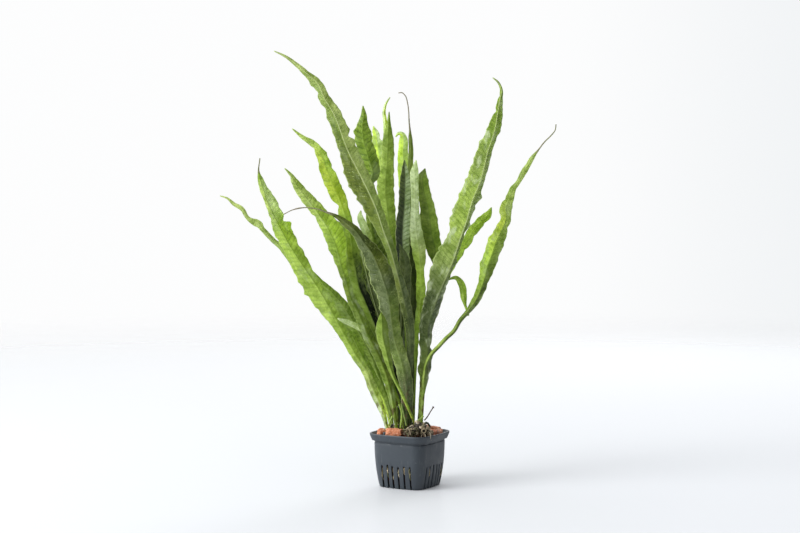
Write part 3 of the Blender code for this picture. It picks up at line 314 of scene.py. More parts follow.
        (-6.7, 48.5, -13.2, 1.1), (-10, 78, -22, 1.3), (-13.5, 110, -35.5, 3.4), (-16, 136, -51.5, 5.6),
        (-15.5, 150, -66, 5), (-14, 153, -79, 2.8), (-11, 148, -88, 0.4))),
    ("leaf_back_narrow", 185, (25, 25), (
        (3.6, 48.5, -22.2, 1), (1, 70, -33, 1.2), (-3, 90, -47, 2.6), (-6, 104, -61, 3.4),
        (-4, 112, -74, 2.6), (0, 112, -84, 0.4))),
    ("leaf_back_upright", 176, (15, 20), (
        (6.5, 48.5, -13, 1), (9.5, 72, -17, 3.6), (9.5, 98, -21, 6), (8.5, 128, -25, 7.5),
        (10, 156, -29, 7), (12.5, 184, -33, 5), (14, 206, -38, 0.4))),
)

# How each leaf looks: its finish, the colours of its left and right half in equal steps from base to tip, the
# side veins' pitch, how far the blade bulges between them and how far its margin waves. Then come the
# strengths of its bands, pale flecks and painted sheen. The last number is the midrib: pale above zero, a dark
# line below. The colours hold painted light and shade: a half or a stretch of a leaf that lies in shade is
# painted darker, down to near-black, and some parts in shade are painted paler as painted light. The bands
# are partly painted shade in the vein grooves and a painted highlight on the bulges, and the painted sheen is
# pale patches that stand for reflections.
Look = namedtuple("Look", "finish left right pitch bulge wave bands flecks film midrib")
LOOKS = {
    "leaf_tall_left": Look(
        "green", "slate slate dark olive mid olive olive mid sage pale",
        "slate slate slate slate moss sage pale pale pale pale", 3.4, 0.35, 0.8, 0.3, 1.0, 0.2, 0.9),
    # the near-black middle of the right half is painted shade, for the dark gap beside it
    "leaf_yellow_left": Look(
        "yellow", "sage slate slate moss moss olive bright yellow yellow pale",
        "slate dark ink ink deep slate fresh yellow bright pale", 5.0, 0.45, 1.3, 0.4, 0.3, 0.2, -0.3),
    "leaf_bright_left": Look(
        "bright", "sage fresh mid moss mid mid fresh bright pale pale",
        "fresh olive olive mid mid fresh lime lime pale pale", 4.0, 0.45, 1.0, 0.6, 0.5, 0.6, -0.7),
    "leaf_dark_centre": Look(
        "dark", "dark slate moss slate slate slate slate slate olive olive ink",
        "dark slate moss moss moss slate olive dark olive olive ink", 4.6, 0.45, 1.3, 0.3, 0.6, 0.15, 0.1),
    "leaf_young_left": Look(
        "yellow", "olive mid mid fresh yellow frost mint",
        "olive mid mid fresh yellow yellow frost", 3.0, 0.3, 0.9, 0.3, 0.3, 0.8, 0.0),
    "leaf_short_front": Look(
        "bright", "yellow bright bright bright fresh",
        "mid fresh mid mid mid", 4.0, 0.25, 0.5, 0.2, 0.1, 0.2, -0.2),
    "leaf_broad_left": Look(
        "bright", "frost pale bright bright bright bright bright bright pale bright",
        "glow pale bright fresh bright bright bright lime frost bright",
        4.0, 0.3, 0.9, 0.45, 0.15, 0.5, -0.8),
    "leaf_thin_far_left": Look(
        "green", "fresh sage moss fresh sage pale",
        "fresh sage fresh fresh sage pale", 3.5, 0.3, 0.6, 0.3, 0.5, 0.3, 0.0),
    "leaf_streaky_left": Look(
        "green", "pale pale fresh sage fresh",
        "fresh sage moss sage fresh", 3.5, 0.4, 0.7, 0.8, 0.4, 0.4, 0.2),
    "leaf_curled_left": Look(
        "yellow", "mid mid sage pale frost",
        "mid mid sage pale frost", 4.0, 0.15, 0.3, 0.2, 0.0, 0.8, 0.0),
    "leaf_narrow_left": Look(
        "bright", "glow glow bright bright bright",
        "frost pale fresh fresh bright", 4.0, 0.3, 0.7, 0.5, 0.2, 0.2, 0.3),
    "leaf_tall_right": Look(
        "green", "bright moss slate slate sage bright bright sage fresh fresh",
        "fresh slate slate slate moss moss sage sage fresh fresh", 3.6, 0.35, 0.9, 0.4, 0.2, 1.2, 1.0),
    "leaf_far_right": Look(
        "bright", "sage bright bright mid fresh lime yellow sage pale pale",
        "fresh slate slate slate slate moss sage pale pale pale", 4.2, 0.5, 1.0, 0.35, 0.4, 0.5, -0.4),
    "leaf_small_right": Look(
        "bright", "fresh bright fresh sage",
        "fresh fresh fresh fresh", 3.5, 0.3, 0.5, 0.4, 0.2, 0.2, -0.3),
    "leaf_behind_right": Look(
        "yellow", "mid fresh bright bright bright",
        "mid fresh bright bright fresh", 4.2, 0.4, 0.9, 0.4, 0.2, 0.2, -0.2),
    "leaf_banded_middle": Look(
        "green", "deep dark dark dark dark mid mid fresh fresh fresh",
        "deep dark dark dark dark mid mid mid fresh fresh", 4.4, 0.6, 0.6, 1.0, 0.0, 0.3, -0.4),
    "leaf_middle": Look(
        "green", "deep dark dark mid fresh fresh bright bright bright fresh",
        "deep dark dark mid fresh fresh bright bright bright fresh", 4.2, 0.3, 0.4, 0.4, 0.1, 0.1, -0.5),
    "leaf_bright_middle": Look(
        "yellow", "olive olive mid mid bright glow glow",
        "olive olive mid mid bright glow frost", 4.5, 0.5, 0.9, 0.4, 0.0, 1.0, -0.2),
    "leaf_curled_middle": Look(
        "yellow", "olive mid fresh fresh yellow glow frost",
        "olive mid fresh fresh yellow lime yellow", 4.5, 0.2, 0.4, 0.2, 0.0, 1.0, 0.0),
    "leaf_arched_middle": Look(
        "yellow", "olive mid mid fresh lime glow",
        "olive mid mid bright glow frost", 4.5, 0.4, 0.7, 0.3, 0.0, 1.0, 0.2),
    "leaf_thread_middle": Look(
        "dark", "deep dark dark dark dark dark mid mid mid olive",
        "deep dark dark dark dark dark mid fresh mid olive", 4.2, 0.3, 0.4, 0.3, 0.0, 0.1, -0.3),
    "leaf_ribbed_middle": Look(
        "dark", "deep deep deep deep dark",
        "dark slate sage mint mint", 3.5, 0.85, 0.4, 1.0, 0.0, 0.05, -0.6),
    "leaf_mint_middle": Look(
        "bright", "olive mid fresh bright bright lime bright frost frost frost",
        "olive mid mid bright bright lime pale frost frost frost", 4.0, 0.3, 0.5, 0.35, 0.3, 0.1, 0.2),
    "leaf_green_right": Look(
        "dark", "dark dark mid mid mid",
        "olive mid fresh fresh fresh", 4.0, 0.3, 0.5, 0.3, 0.0, 0.1, -0.5),
    "leaf_dark_middle": Look(
        "dark", "deep deep dark dark",
        "dark dark dark slate", 4.4, 0.4, 0.6, 0.4, 0.1, 0.1, 0.0),
    # leaf_back_tall and leaf_back_upright are painted deep and dark: painted shade where they show through the
    # gaps between the front leaves
    "leaf_back_tall": Look(
        "dark", "deep deep dark dark mid",
        "deep deep dark dark mid", 4.0, 0.4, 0.9, 0.5, 0.3, 0.3, 0.4),
    "leaf_back_broad": Look(
        "bright", "mid fresh bright fresh",
        "mid fresh fresh fresh", 4.2, 0.4, 1.0, 0.4, 0.3, 0.3, -0.5),
    "leaf_back_arched": Look(
        "green", "mid fresh fresh bright",
        "mid fresh fresh bright", 4.0, 0.4, 0.9, 0.4, 0.4, 0.3, 0.4),
    "leaf_back_narrow": Look(
        "yellow", "mid fresh bright yellow",
        "mid fresh bright yellow", 4.0, 0.3, 0.7, 0.3, 0.2, 0.3, 0.2),
    "leaf_back_upright": Look(
        "dark", "deep deep dark dark mid",
        "deep deep dark dark mid", 4.2, 0.4, 0.8, 0.4, 0.1, 0.2, 0.4),
}

# Each leaf finish: how clear its net of small veins is, how much light comes through the leaf, and how much
# yellower that light is
LEAF_FINISHES = {
    "green": (0.5, 0.36, 0.35),
    "dark": (0.45, 0.22, 0.2),
    "bright": (0.4, 0.44, 0.45),
    "yellow": (0.4, 0.48, 0.5),
}

# Leaves whose drawn-out tip has dried to a brown thread
DRIED_TIPS = ("leaf_dark_centre", "leaf_broad_left", "leaf_far_right", "leaf_thread_middle")

# Nicks and bumps of the margins: side, height, how far the margin draws in (below zero for a bump) and half
# the nick's length
LEFT, RIGHT = "left", "right"
NICKS = {
    "leaf_tall_left": (
        (LEFT, 317, -1.6, 3.0), (LEFT, 309.5, 1.3, 1.6), (LEFT, 298, 2.2, 3.5), (RIGHT, 277.5, -1.3, 2.2),
        (RIGHT, 273.2, 2.4, 1.8), (RIGHT, 268.5, -1.2, 2.0), (LEFT, 231, 1.6, 2.2), (LEFT, 222, 1.5, 1.8),
    ),
    "leaf_yellow_left": (
        (LEFT, 266.5, 1.0, 1.6), (LEFT, 221.5, 2.8, 2.6), (LEFT, 213, -1.2, 2.2), (RIGHT, 260, -1.0, 1.8),
        (RIGHT, 249, 1.0, 1.6), (RIGHT, 232, 0.9, 1.6), (RIGHT, 183, 1.2, 2.2), (RIGHT, 176, -1.2, 2.4),
        (RIGHT, 165, 1.4, 2.4),
    ),
    "leaf_bright_left": (
        (LEFT, 243, 0.8, 1.6), (LEFT, 214, 0.9, 1.8), (LEFT, 182, 0.8, 1.6), (LEFT, 163, 0.7, 1.6),
    ),
    "leaf_dark_centre": (
        (LEFT, 178, -1.2, 2.2), (LEFT, 172, 1.4, 1.8), (LEFT, 152, 1.3, 2.0), (LEFT, 140, -1.2, 2.0),
        (LEFT, 126, 1.2, 1.8), (RIGHT, 132, 1.0, 2.0), (RIGHT, 196, 0.9, 1.6),
    ),
    "leaf_broad_left": (
        (LEFT, 211, 0.9, 1.6), (LEFT, 199, -0.8, 1.5), (LEFT, 162, 0.9, 1.3), (LEFT, 157, -0.9, 1.2),
        (LEFT, 128, 0.8, 1.4), (RIGHT, 206.5, 2.6, 2.0), (RIGHT, 202.5, -1.6, 1.8), (RIGHT, 186, 0.9, 1.6),
    ),
    "leaf_tall_right": (
        (LEFT, 306, 0.7, 1.4), (LEFT, 294, 1.0, 1.6), (LEFT, 268, -0.8, 1.8), (LEFT, 196, 1.2, 2.2),
        (RIGHT, 228, -2.0, 2.4), (RIGHT, 221, 1.0, 1.5), (RIGHT, 205, -2.0, 2.2), (RIGHT, 199, 0.8, 1.4),
        (RIGHT, 176, -1.4, 2.4), (RIGHT, 168, 1.0, 1.6), (RIGHT, 158, 0.9, 1.5), (RIGHT, 278, -0.9, 1.8),
        (RIGHT, 109, 1.2, 1.8), (RIGHT, 101, -1.0, 1.8), (RIGHT, 87, 0.9, 1.6), (LEFT, 92, -1.2, 13.0),
        (LEFT, 91, -1.9, 4.5), (LEFT, 113, -0.9, 3.5),
    ),
    "leaf_far_right": (
        (LEFT, 224, 0.8, 1.4), (LEFT, 196, 1.0, 1.8), (LEFT, 176, 0.8, 1.5), (RIGHT, 204, 0.9, 1.8),
        (RIGHT, 160, 0.8, 1.6),
    ),
    "leaf_behind_right": (
        (LEFT, 205, 0.9, 1.6), (RIGHT, 209, 1.0, 1.5), (RIGHT, 198, 1.2, 1.8), (RIGHT, 188, 1.0, 1.5),
    ),
    "leaf_banded_middle": ((LEFT, 279, -1.2, 1.4), (LEFT, 275.5, 1.0, 1.2), (RIGHT, 262, -0.5, 1.6)),
    "leaf_bright_middle": ((LEFT, 279, -0.8, 1.2), (RIGHT, 273, 1.5, 1.8), (RIGHT, 262, 1.0, 1.5)),
    "leaf_green_right": ((LEFT, 238, -1.0, 1.4),),
    "leaf_thin_far_left": ((LEFT, 208, -1.0, 1.4), (RIGHT, 203, 0.7, 1.4)),
}


class Graph:
    """Builds the nodes of one tree. Each method returns the socket that holds its result."""

    def __init__(self, tree):
        self.tree = tree

    def add(self, kind, **settings):
        node = self.tree.nodes.new(kind)
        for key, value in settings.items():
            setattr(node, key, value)
        return node

    def feed(self, socket, value):
        if isinstance(value, bpy.types.NodeSocket):
            self.tree.links.new(value, socket)
        elif isinstance(value, tuple) and len(value) == 3 and len(socket.default_value) == 4:
            socket.default_value = (*value, 1.0)
        else:
            socket.default_value = value

    def math(self, operation, *values):
        node = self.add("ShaderNodeMath", operation=operation)
        for socket, value in zip(node.inputs, values):
            self.feed(socket, value)
        return node.outputs[0]

    def product(self, *values):
        result = values[0]
        for value in values[1:]:
            result = self.math("MULTIPLY", result, value)
        return result

    def mix(self, share, first, second, blend="MIX"):
        node = self.add("ShaderNodeMix", data_type="RGBA", blend_type=blend)
        self.feed(node.inputs[0], share)
        self.feed(node.inputs[6], first)
        self.feed(node.inputs[7], second)
        return node.outputs[2]

    def toned(self, colour, tone):
        """The colour times a tone."""
        return self.mix(1.0, colour, tone, "MULTIPLY")

    def smooth(self, value, low, high, start=0.0, end=1.0):
        """The value, eased from the range low to high into the range start to end."""
        node = self.add("ShaderNodeMapRange", interpolation_type="SMOOTHSTEP")
        for key, number in (("From Min", low), ("From Max", high), ("To Min", start), ("To Max", end)):
            node.inputs[key].default_value = number
        self.feed(node.inputs["Value"], value)
        return node.outputs[0]

    def where(self):
        """The place on the object, in metres."""
        return self.add("ShaderNodeTexCoord").outputs["Object"]

    def split(self, vector):
        node = self.add("ShaderNodeSeparateXYZ")
        self.feed(node.inputs[0], vector)
        return node.outputs

    def scaled(self, vector, scale):
        node = self.add("ShaderNodeMapping")
        node.inputs["Scale"].default_value = scale
        self.feed(node.inputs["Vector"], vector)
        return node.outputs[0]

    def noise(self, where, scale, detail=2.0, roughness=0.5):
        node = self.add("ShaderNodeTexNoise")
        node.inputs["Scale"].default_value = scale
        node.inputs["Detail"].default_value = detail
        node.inputs["Roughness"].default_value = roughness
        self.feed(node.inputs["Vector"], where)
        return node.outputs[0]

    def cells(self, where, scale, feature="F1"):
        node = self.add("ShaderNodeTexVoronoi", feature=feature)
        node.inputs["Scale"].default_value = scale
        self.feed(node.inputs["Vector"], where)
        return node.outputs["Distance"]

    def attribute(self, name):
        return self.add("ShaderNodeAttribute", attribute_name=name)

    def bump(self, height, depth_mm, strength=1.0):
        node = self.add("ShaderNodeBump")
        node.inputs["Strength"].default_value = strength
        node.inputs["Distance"].default_value = depth_mm * MM
        self.feed(node.inputs["Height"], height)
        return node.outputs[0]

    def mix_shaders(self, share, first, second):
        node = self.add("ShaderNodeMixShader")
        for socket, value in zip(node.inputs, (share, first, second)):
            self.feed(socket, value)
        return node.outputs[0]


class Finish(Graph):
    """A material with one Principled shader."""

    def __init__(self, name, roughness):
        self.material = bpy.data.materials.new(name)
        self.material.use_nodes = True
        super().__init__(self.material.node_tree)
        self.shader = self.tree.nodes["Principled BSDF"]
        self.shader.inputs["Roughness"].default_value = roughness

    def surface(self, shader):
        """Makes this shader the material's surface, in place of the Principled shader alone."""
        self.feed(self.tree.nodes["Material Output"].inputs["Surface"], shader)

    def done(self, colour, roughness=None, normal=None):
        for key, socket in (("Base Color", colour), ("Roughness", roughness), ("Normal", normal)):
            if socket is not None:
                self.feed(self.shader.inputs[key], socket)
        return self.material


def leaf_ground(g, uv):
    """The leaf's tint, with slow changes of tone and long pale streaks."""
    tint = g.attribute("tint").outputs["Color"]
    patch = g.noise(uv, 0.13, 3.0, 0.6)
    colour = g.mix(g.smooth(patch, 0.38, 0.60), g.toned(tint, (0.62, 0.68, 0.48)), tint)
    streak = g.smooth(g.noise(g.scaled(uv, (0.30, 0.05, 1.0)), 1.0, 3.0, 0.6), 0.50, 0.66)
    return g.mix(streak, colour, g.toned(colour, (1.28, 1.22, 1.4)))


def side_veins(g, colour, uv, vein, off_rib, bands):
    """Side veins: dark lines along the veins, partly their own colour and partly painted shade in their
    grooves, and a painted highlight on the bulges between them. Returns the colour and the groove.
    """
    phase = g.math("FRACT", g.math("MULTIPLY_ADD", g.noise(uv, 0.5, 2.0), 0.35, vein))
    from_vein = g.math("ABSOLUTE", g.math("SUBTRACT", phase, 0.5))
    groove = g.smooth(from_vein, 0.30, 0.5)
    # dark lines along the veins: their own colour and painted shade in the grooves
    colour = g.mix(g.product(groove, off_rib, bands), colour, g.toned(colour, (0.50, 0.58, 0.45)))
    # painted highlight on the top of the bulge between two veins
    bulge_highlight = g.smooth(from_vein, 0.20, 0.0)
    colour = g.mix(g.product(bulge_highlight, off_rib, bands, 0.5), colour, g.toned(colour, (1.35, 1.30, 1.45)))
    return colour, groove


def vein_net(g, colour, uv, off_rib, strength):
    """The fine net of small veins. Returns the colour, and the net as 0 on a vein and 1 between them."""
    net = g.smooth(g.cells(uv, 0.52, "DISTANCE_TO_EDGE"), 0.01, 0.15)
    lines = g.product(g.smooth(net, 1.0, 0.0), strength, off_rib)
    return g.mix(lines, colour, g.toned(colour, (0.62, 0.68, 0.50))), net


def pale_flecks(g, colour, uv, off_rib, flecks):
    """Small pale flecks, in groups."""
    spots = g.smooth(g.cells(g.scaled(uv, (0.9, 0.5, 1.0)), 1.0), 0.42, 0.12)
    groups = g.smooth(g.noise(uv, 0.16, 3.0, 0.65), 0.40, 0.60)
    return g.mix(g.product(spots, groups, flecks, off_rib, 0.7), colour, (0.50, 0.60, 0.22))


def paint_sheen(g, colour, uv, film):
    """Painted sheen: pale soft patches that stand for glossy reflections on the wet leaf, stretched along the
    blade.
    """
    sheen_patches = g.smooth(g.noise(g.scaled(uv, (0.15, 0.06, 1.0)), 1.0, 3.0, 0.6), 0.50, 0.68)
    # painted sheen: the colour turns pale grey-green in the patches, in place of a reflection
    return g.mix(g.product(sheen_patches, film, 0.7), colour, (0.62, 0.70, 0.44))


def margin_and_midrib(g, colour, edge, rib):
    """A pale margin, which is a painted highlight along the edge, and a midrib that is paler or darker than the
    blade.
    """
    # painted highlight: a thin pale line along the margin
    colour = g.mix(g.product(g.smooth(edge, 0.90, 0.99), 0.6), colour, (0.52, 0.63, 0.22))
    midrib = g.attribute("midrib").outputs["Fac"]
    line = g.smooth(rib, 0.55, 0.85)
    colour = g.mix(g.product(line, midrib, 0.8), colour, (0.70, 0.77, 0.40))
    return g.mix(g.product(line, midrib, -1.0), colour, g.toned(colour, (0.38, 0.46, 0.30)))


def stalk_stains(g, colour, uv):
    """Brown stains low on the stalk."""
    low = g.smooth(g.attribute("height").outputs["Fac"], 0.24, 0.06)
    stain = g.smooth(g.noise(g.scaled(uv, (0.40, 0.15, 1.0)), 1.0, 3.0, 0.6), 0.52, 0.59)
    return g.mix(g.product(low, stain, 0.85), colour, (0.11, 0.065, 0.03))


def let_light_through(g, colour, normal, share, yellowness):
    """Light that comes through a leaf is yellower, and the dark parts let little of it through."""
    thin = g.smooth(g.split(colour)[1], 0.02, 0.20)
    through = g.add("ShaderNodeBsdfTranslucent")
    g.feed(through.inputs["Color"], g.mix(g.product(thin, yellowness), colour, (0.74, 0.94, 0.16)))
    g.feed(through.inputs["Normal"], normal)
    g.surface(g.mix_shaders(share, g.shader.outputs[0], through.outputs[0]))


def leaf_material(name, net_strength, through_share, yellowness):
    """A wet, veined leaf that lets some light through. Its pattern is drawn along the blade, not in space.

    The mesh gives the place on the blade (towards the margin, vein count, on the midrib), the strength of the
    bands, flecks and painted sheen, the height along the leaf, the midrib's tone and the tint.
    """
    g = Finish(name, 0.34)
    edge, vein, rib = g.split(g.attribute("blade").outputs["Vector"])
    bands, flecks, film = g.split(g.attribute("marks").outputs["Vector"])
    uv = g.add("ShaderNodeUVMap", uv_map="leaf").outputs[0]
    off_rib = g.smooth(rib, 0.75, 0.2)
    colour, groove = side_veins(g, leaf_ground(g, uv), uv, vein, off_rib, bands)
    colour, net = vein_net(g, colour, uv, off_rib, net_strength)
    colour = pale_flecks(g, colour, uv, off_rib, flecks)
    # painted sheen: pale patches that stand for reflections
    colour = paint_sheen(g, colour, uv, film)
    colour = margin_and_midrib(g, colour, edge, rib)
    colour = stalk_stains(g, colour, uv)
    height = g.math("MULTIPLY_ADD", g.product(net, off_rib), 0.22, g.product(groove, -0.6))
    normal = g.bump(height, 0.3, 0.7)
    g.shader.inputs["Specular IOR Level"].default_value = 0.3
    g.done(colour, g.smooth(g.noise(uv, 0.22, 2.0), 0.3, 0.7, 0.30, 0.50), normal)
    let_light_through(g, colour, normal, through_share, yellowness)
    return g.material


def stalk_material():
    """Young green stalks: streaked along their length, with a wet sheen."""
    g = Finish("young_stalk", 0.36)
    where = g.where()
    tone = g.attribute("tint").outputs["Color"]
    streak = g.noise(g.scaled(where, (1.0, 1.0, 0.2)), 1400, 3.0, 0.6)
    colour = g.mix(g.smooth(streak, 0.35, 0.65), g.toned(tone, (0.62, 0.70, 0.55)), tone)
    colour = g.mix(g.smooth(g.noise(where, 260, 2.0), 0.62, 0.70), colour, (0.16, 0.11, 0.05))
    return g.done(colour, g.smooth(streak, 0.3, 0.7, 0.3, 0.5), g.bump(streak, 0.15, 0.6))


def plastic_material():
    """Dark slate moulded plastic with a faint grain, scuffs and dried water marks."""
    g = Finish("pot_plastic", 0.42)
    where = g.where()
    grain = g.noise(where, 1800, 3.0)
    cloud = g.noise(where, 70, 2.0)
    colour = g.mix(cloud, (0.028, 0.037, 0.047), (0.040, 0.051, 0.063))
    colour = g.mix(g.smooth(g.noise(where, 420, 4.0, 0.7), 0.66, 0.74), colour, (0.14, 0.15, 0.155))
    runs = g.noise(g.scaled(where, (1.0, 1.0, 0.16)), 480, 3.0, 0.6)
    colour = g.mix(g.product(g.smooth(runs, 0.58, 0.72), 0.35), colour, (0.12, 0.13, 0.135))
    rough = g.smooth(cloud, 0.3, 0.7, 0.40, 0.54)
    return g.done(colour, rough, g.bump(grain, 0.08, 0.5))


def clay_material(name, light, dark, dusty):
    """Fired clay: porous, dusty, redder in the hollows, where the pits are darkened as painted shade."""
    g = Finish(name, 0.9)
    where = g.where()
    lump = g.noise(where, 330, 5.0, 0.65)
    colour = g.mix(g.smooth(lump, 0.32, 0.68), dark, light)
    colour = g.mix(g.smooth(g.noise(where, 900, 3.0), 0.56, 0.7), colour, dusty)
    pores = g.smooth(g.cells(where, 1500), 0.08, 0.3)
    # painted shade: the pits are darkened towards a deep red-brown
    colour = g.mix(g.product(g.smooth(pores, 1.0, 0.0), 0.6), colour, (0.12, 0.05, 0.035))
    colour = g.toned(colour, g.attribute("tint").outputs["Color"])
    height = g.math("MULTIPLY_ADD", lump, 0.8, g.product(pores, 0.4))
    g.shader.inputs["Specular IOR Level"].default_value = 0.3
    return g.done(colour, g.smooth(lump, 0.3, 0.7, 0.8, 0.97), g.bump(height, 0.5, 0.9))


def bark_material():
    """Rhizome, roots and dead stalks: each strand has its own tone, with fibres and pale scales over it."""
    g = Finish("rhizome_bark", 0.75)
    where = g.where()
    fibre = g.noise(g.scaled(where, (1.0, 1.0, 0.35)), 900, 4.0, 0.7)
    tone = g.attribute("tint").outputs["Color"]
    colour = g.mix(g.smooth(fibre, 0.3, 0.7), g.toned(tone, (0.45, 0.42, 0.38)), tone)
    scales = g.smooth(g.noise(where, 420, 3.0), 0.64, 0.72)
    colour = g.mix(g.product(scales, 0.6), colour, g.toned(colour, (2.2, 2.1, 1.9)))
    return g.done(colour, g.smooth(fibre, 0.3, 0.7, 0.5, 0.85), g.bump(fibre, 0.4, 0.8))


class Shape:
    """Collects the points, faces and point colours of one piece, in millimetres."""

    def __init__(self):
        self.points = []
        self.faces = []
        self.tones = []
        self.count = 0

    def add(self, points, faces, tone=(1.0, 1.0, 1.0)):
        points = np.asarray(points, dtype=float)
        self.points.append(points)
        self.faces += [tuple(i + self.count for i in face) for face in faces]
        self.tones.append(np.broadcast_to(np.asarray(tone, dtype=float), (len(points), 3)))
        self.count += len(points)

    def loft(self, rings, tone=(1.0, 1.0, 1.0)):
        """A closed body through rings of equal length, given along +axis and going round to the left."""
        rings = np.asarray(rings)
        rows, count, _ = rings.shape
        faces = []
        for row in range(rows - 1):
            low, high = row * count, (row + 1) * count
            for i in range(count):
                j = (i + 1) % count
                faces.append((low + i, low + j, high + j, high + i))
        faces.append(tuple(reversed(range(count))))
        faces.append(tuple(range((rows - 1) * count, rows * count)))
        self.add(rings.reshape(-1, 3), faces, tone)

    def tube(self, path, radii, sides=6, tone=(1.0, 1.0, 1.0)):
        """A round strand along path, with a radius for each of its points."""
        path = np.asarray(path, dtype=float)
        along = unit(np.gradient(path, axis=0))
        guide = np.array((0.31, 0.12, 0.94)) if abs(along[0][2]) < 0.9 else np.array((1.0, 0.1, 0.0))
        angle = np.linspace(0, 2 * math.pi, sides, endpoint=False)
        rings = []
        for point, way, radius in zip(path, along, np.broadcast_to(radii, len(path))):
            across = unit(np.cross(guide, way))
            up = np.cross(way, across)
            guide = up
            rings.append(point + radius * (np.outer(np.cos(angle), across) + np.outer(np.sin(angle), up)))
        self.loft(rings, tone)

    def mesh(self, name):
        data = bpy.data.meshes.new(name)
        data.from_pydata(np.concatenate(self.points) * MM, [], self.faces)
        return data

    def piece(self, name, finish, stands_for=()):
        data = self.mesh(name)
        data.materials.append(finish)
        tones = np.concatenate(self.tones)
        layer = data.attributes.new("tint", "FLOAT_COLOR", "POINT")
        layer.data.foreach_set("color", np.c_[tones, np.ones(len(tones))].astype(np.float32).ravel())
        data.shade_smooth()
        return place_piece(name, data, stands_for)


def new_object(name, data):
    thing = bpy.data.objects.new(name, data)
    bpy.context.scene.collection.objects.link(thing)
    return thing


def place_piece(name, data, stands_for=()):
    thing = new_object(name, data)
    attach(thing, BODY)
    if stands_for:
        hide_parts(*stands_for)
    return thing


def unit(vectors):
    """The same directions at length 1."""
    return vectors / np.linalg.norm(vectors, axis=-1, keepdims=True)


def side_turn(side):
    """Turns a direction to one of the pot's four sides."""
    return Matrix.Rotation(POT_TURN + side * math.pi / 2, 3, "Z")


def smooth_route(places, count):
    """count places, evenly spread along one smooth curve through the given ones, and its length."""
    given = np.array(places, dtype=float)
    steps = np.linalg.norm(np.diff(given[:, :3], axis=0), axis=1)
    at = np.concatenate(([0.0], np.cumsum(steps)))
    slope = np.gradient(given, at, axis=0)
    wanted = np.linspace(0.0, at[-1], count)
    i = np.minimum(np.searchsorted(at, wanted, side="right") - 1, len(at) - 2)
    span = (at[i + 1] - at[i])[:, None]
    t = ((wanted - at[i]) / span[:, 0])[:, None]
    found = (
        (2 * t**3 - 3 * t**2 + 1) * given[i]
        + (t**3 - 2 * t**2 + t) * span * slope[i]
        + (3 * t**2 - 2 * t**3) * given[i + 1]
        + (t**3 - t**2) * span * slope[i + 1]
    )
    return found, at[-1]


def step_between(value, low, high):
    """A smooth step from 0 at low to 1 at high."""
    t = np.clip((value - low) / (high - low), 0.0, 1.0)
    return t * t * (3 - 2 * t)


def slow_wave(rng, along, lengths=(34.0, 15.0, 8.5), shares=(0.5, 0.35, 0.15)):
    """A wave of mixed lengths with random phases, from about -1 to 1."""
    return sum(
        share * np.sin(2 * math.pi * along / length + rng.uniform(0, 2 * math.pi))
        for length, share in zip(lengths, shares)
    )


def into_depth(route, turn):
    """Moves drawn places along the line of sight to their depths. Returns the points and their growth."""
    x, z, depth = route[:, 0], route[:, 1], route[:, 2]
    if turn:
        return np.stack((x, depth, z), axis=1), np.ones(len(route))
    drawn = np.stack((x, np.zeros(len(x)), z), axis=1)
    share = (depth - VIEW_POINT[1]) / -VIEW_POINT[1]
    return VIEW_POINT + (drawn - VIEW_POINT) * share[:, None], share


def blend_stations(names, share):
    """The colour along a leaf: the named palette colours, in equal steps from base to tip."""
    colours = np.array([PALETTE[name] for name in names.split()])
    at = np.linspace(0.08, 0.95, len(colours))
    return np.stack([np.interp(share, at, colours[:, i]) for i in range(3)], axis=-1)


def sink_base(places):
    """Starts the stalk a little lower, inside the rhizome or the clay."""
    first, second = np.array(places[0], dtype=float), np.array(places[1], dtype=float)
    way = (first - second)[:3]
    start = first.copy()
    start[:3] += unit(way) * SUNK_BASE
    return [tuple(start), *places]


Spine = namedtuple("Spine", "height reach spots v share to_left to_front rib widest is_blade")


def leaf_spine(places, turn):
    """The rows of a leaf, base to tip: where they are and face, and how wide midrib and blade are there."""
    places = sink_base([(*place, place[-1])[:5] for place in places])
    rows = round(smooth_route(places, 2)[1] / ROW_SPACING) + 1
    route, length = smooth_route(places, rows)
    spots, growth = into_depth(route, turn)
    v = np.linspace(0.0, length, rows)
    share = v / length
    along = unit(np.gradient(spots, axis=0))
    to_left = unit(np.stack((-along[:, 2], np.zeros(rows), along[:, 0]), axis=1))
    reach = route[:, 3:] * growth[:, None]
    widest = reach.max(axis=1)
    rib = STALK_RIB + (TIP_RIB - STALK_RIB) * share
    rib = np.maximum(np.minimum(rib, widest), THINNEST)
    is_blade = step_between(widest / rib, *BLADE_TO_RIB)
    to_front = np.cross(along, to_left)
    return Spine(route[:, 1], reach, spots, v, share, to_left, to_front, rib, widest, is_blade)


def margin_reach(name, side, rng, reach, spine):
    """How far one half of the blade reaches from the midrib, with its small waves, nicks and bumps."""
    reach = np.maximum(reach, spine.rib)
    reach = reach * (1 + EDGE_WAVE_SHARE * spine.is_blade * slow_wave(rng, spine.v, EDGE_WAVES))
    for nick_side, level, depth, half_length in NICKS.get(name, ()):
        if nick_side == side:
            reach = reach - depth * np.exp(-(((spine.height - level) / half_length) ** 2))
    return np.maximum(reach, spine.rib)


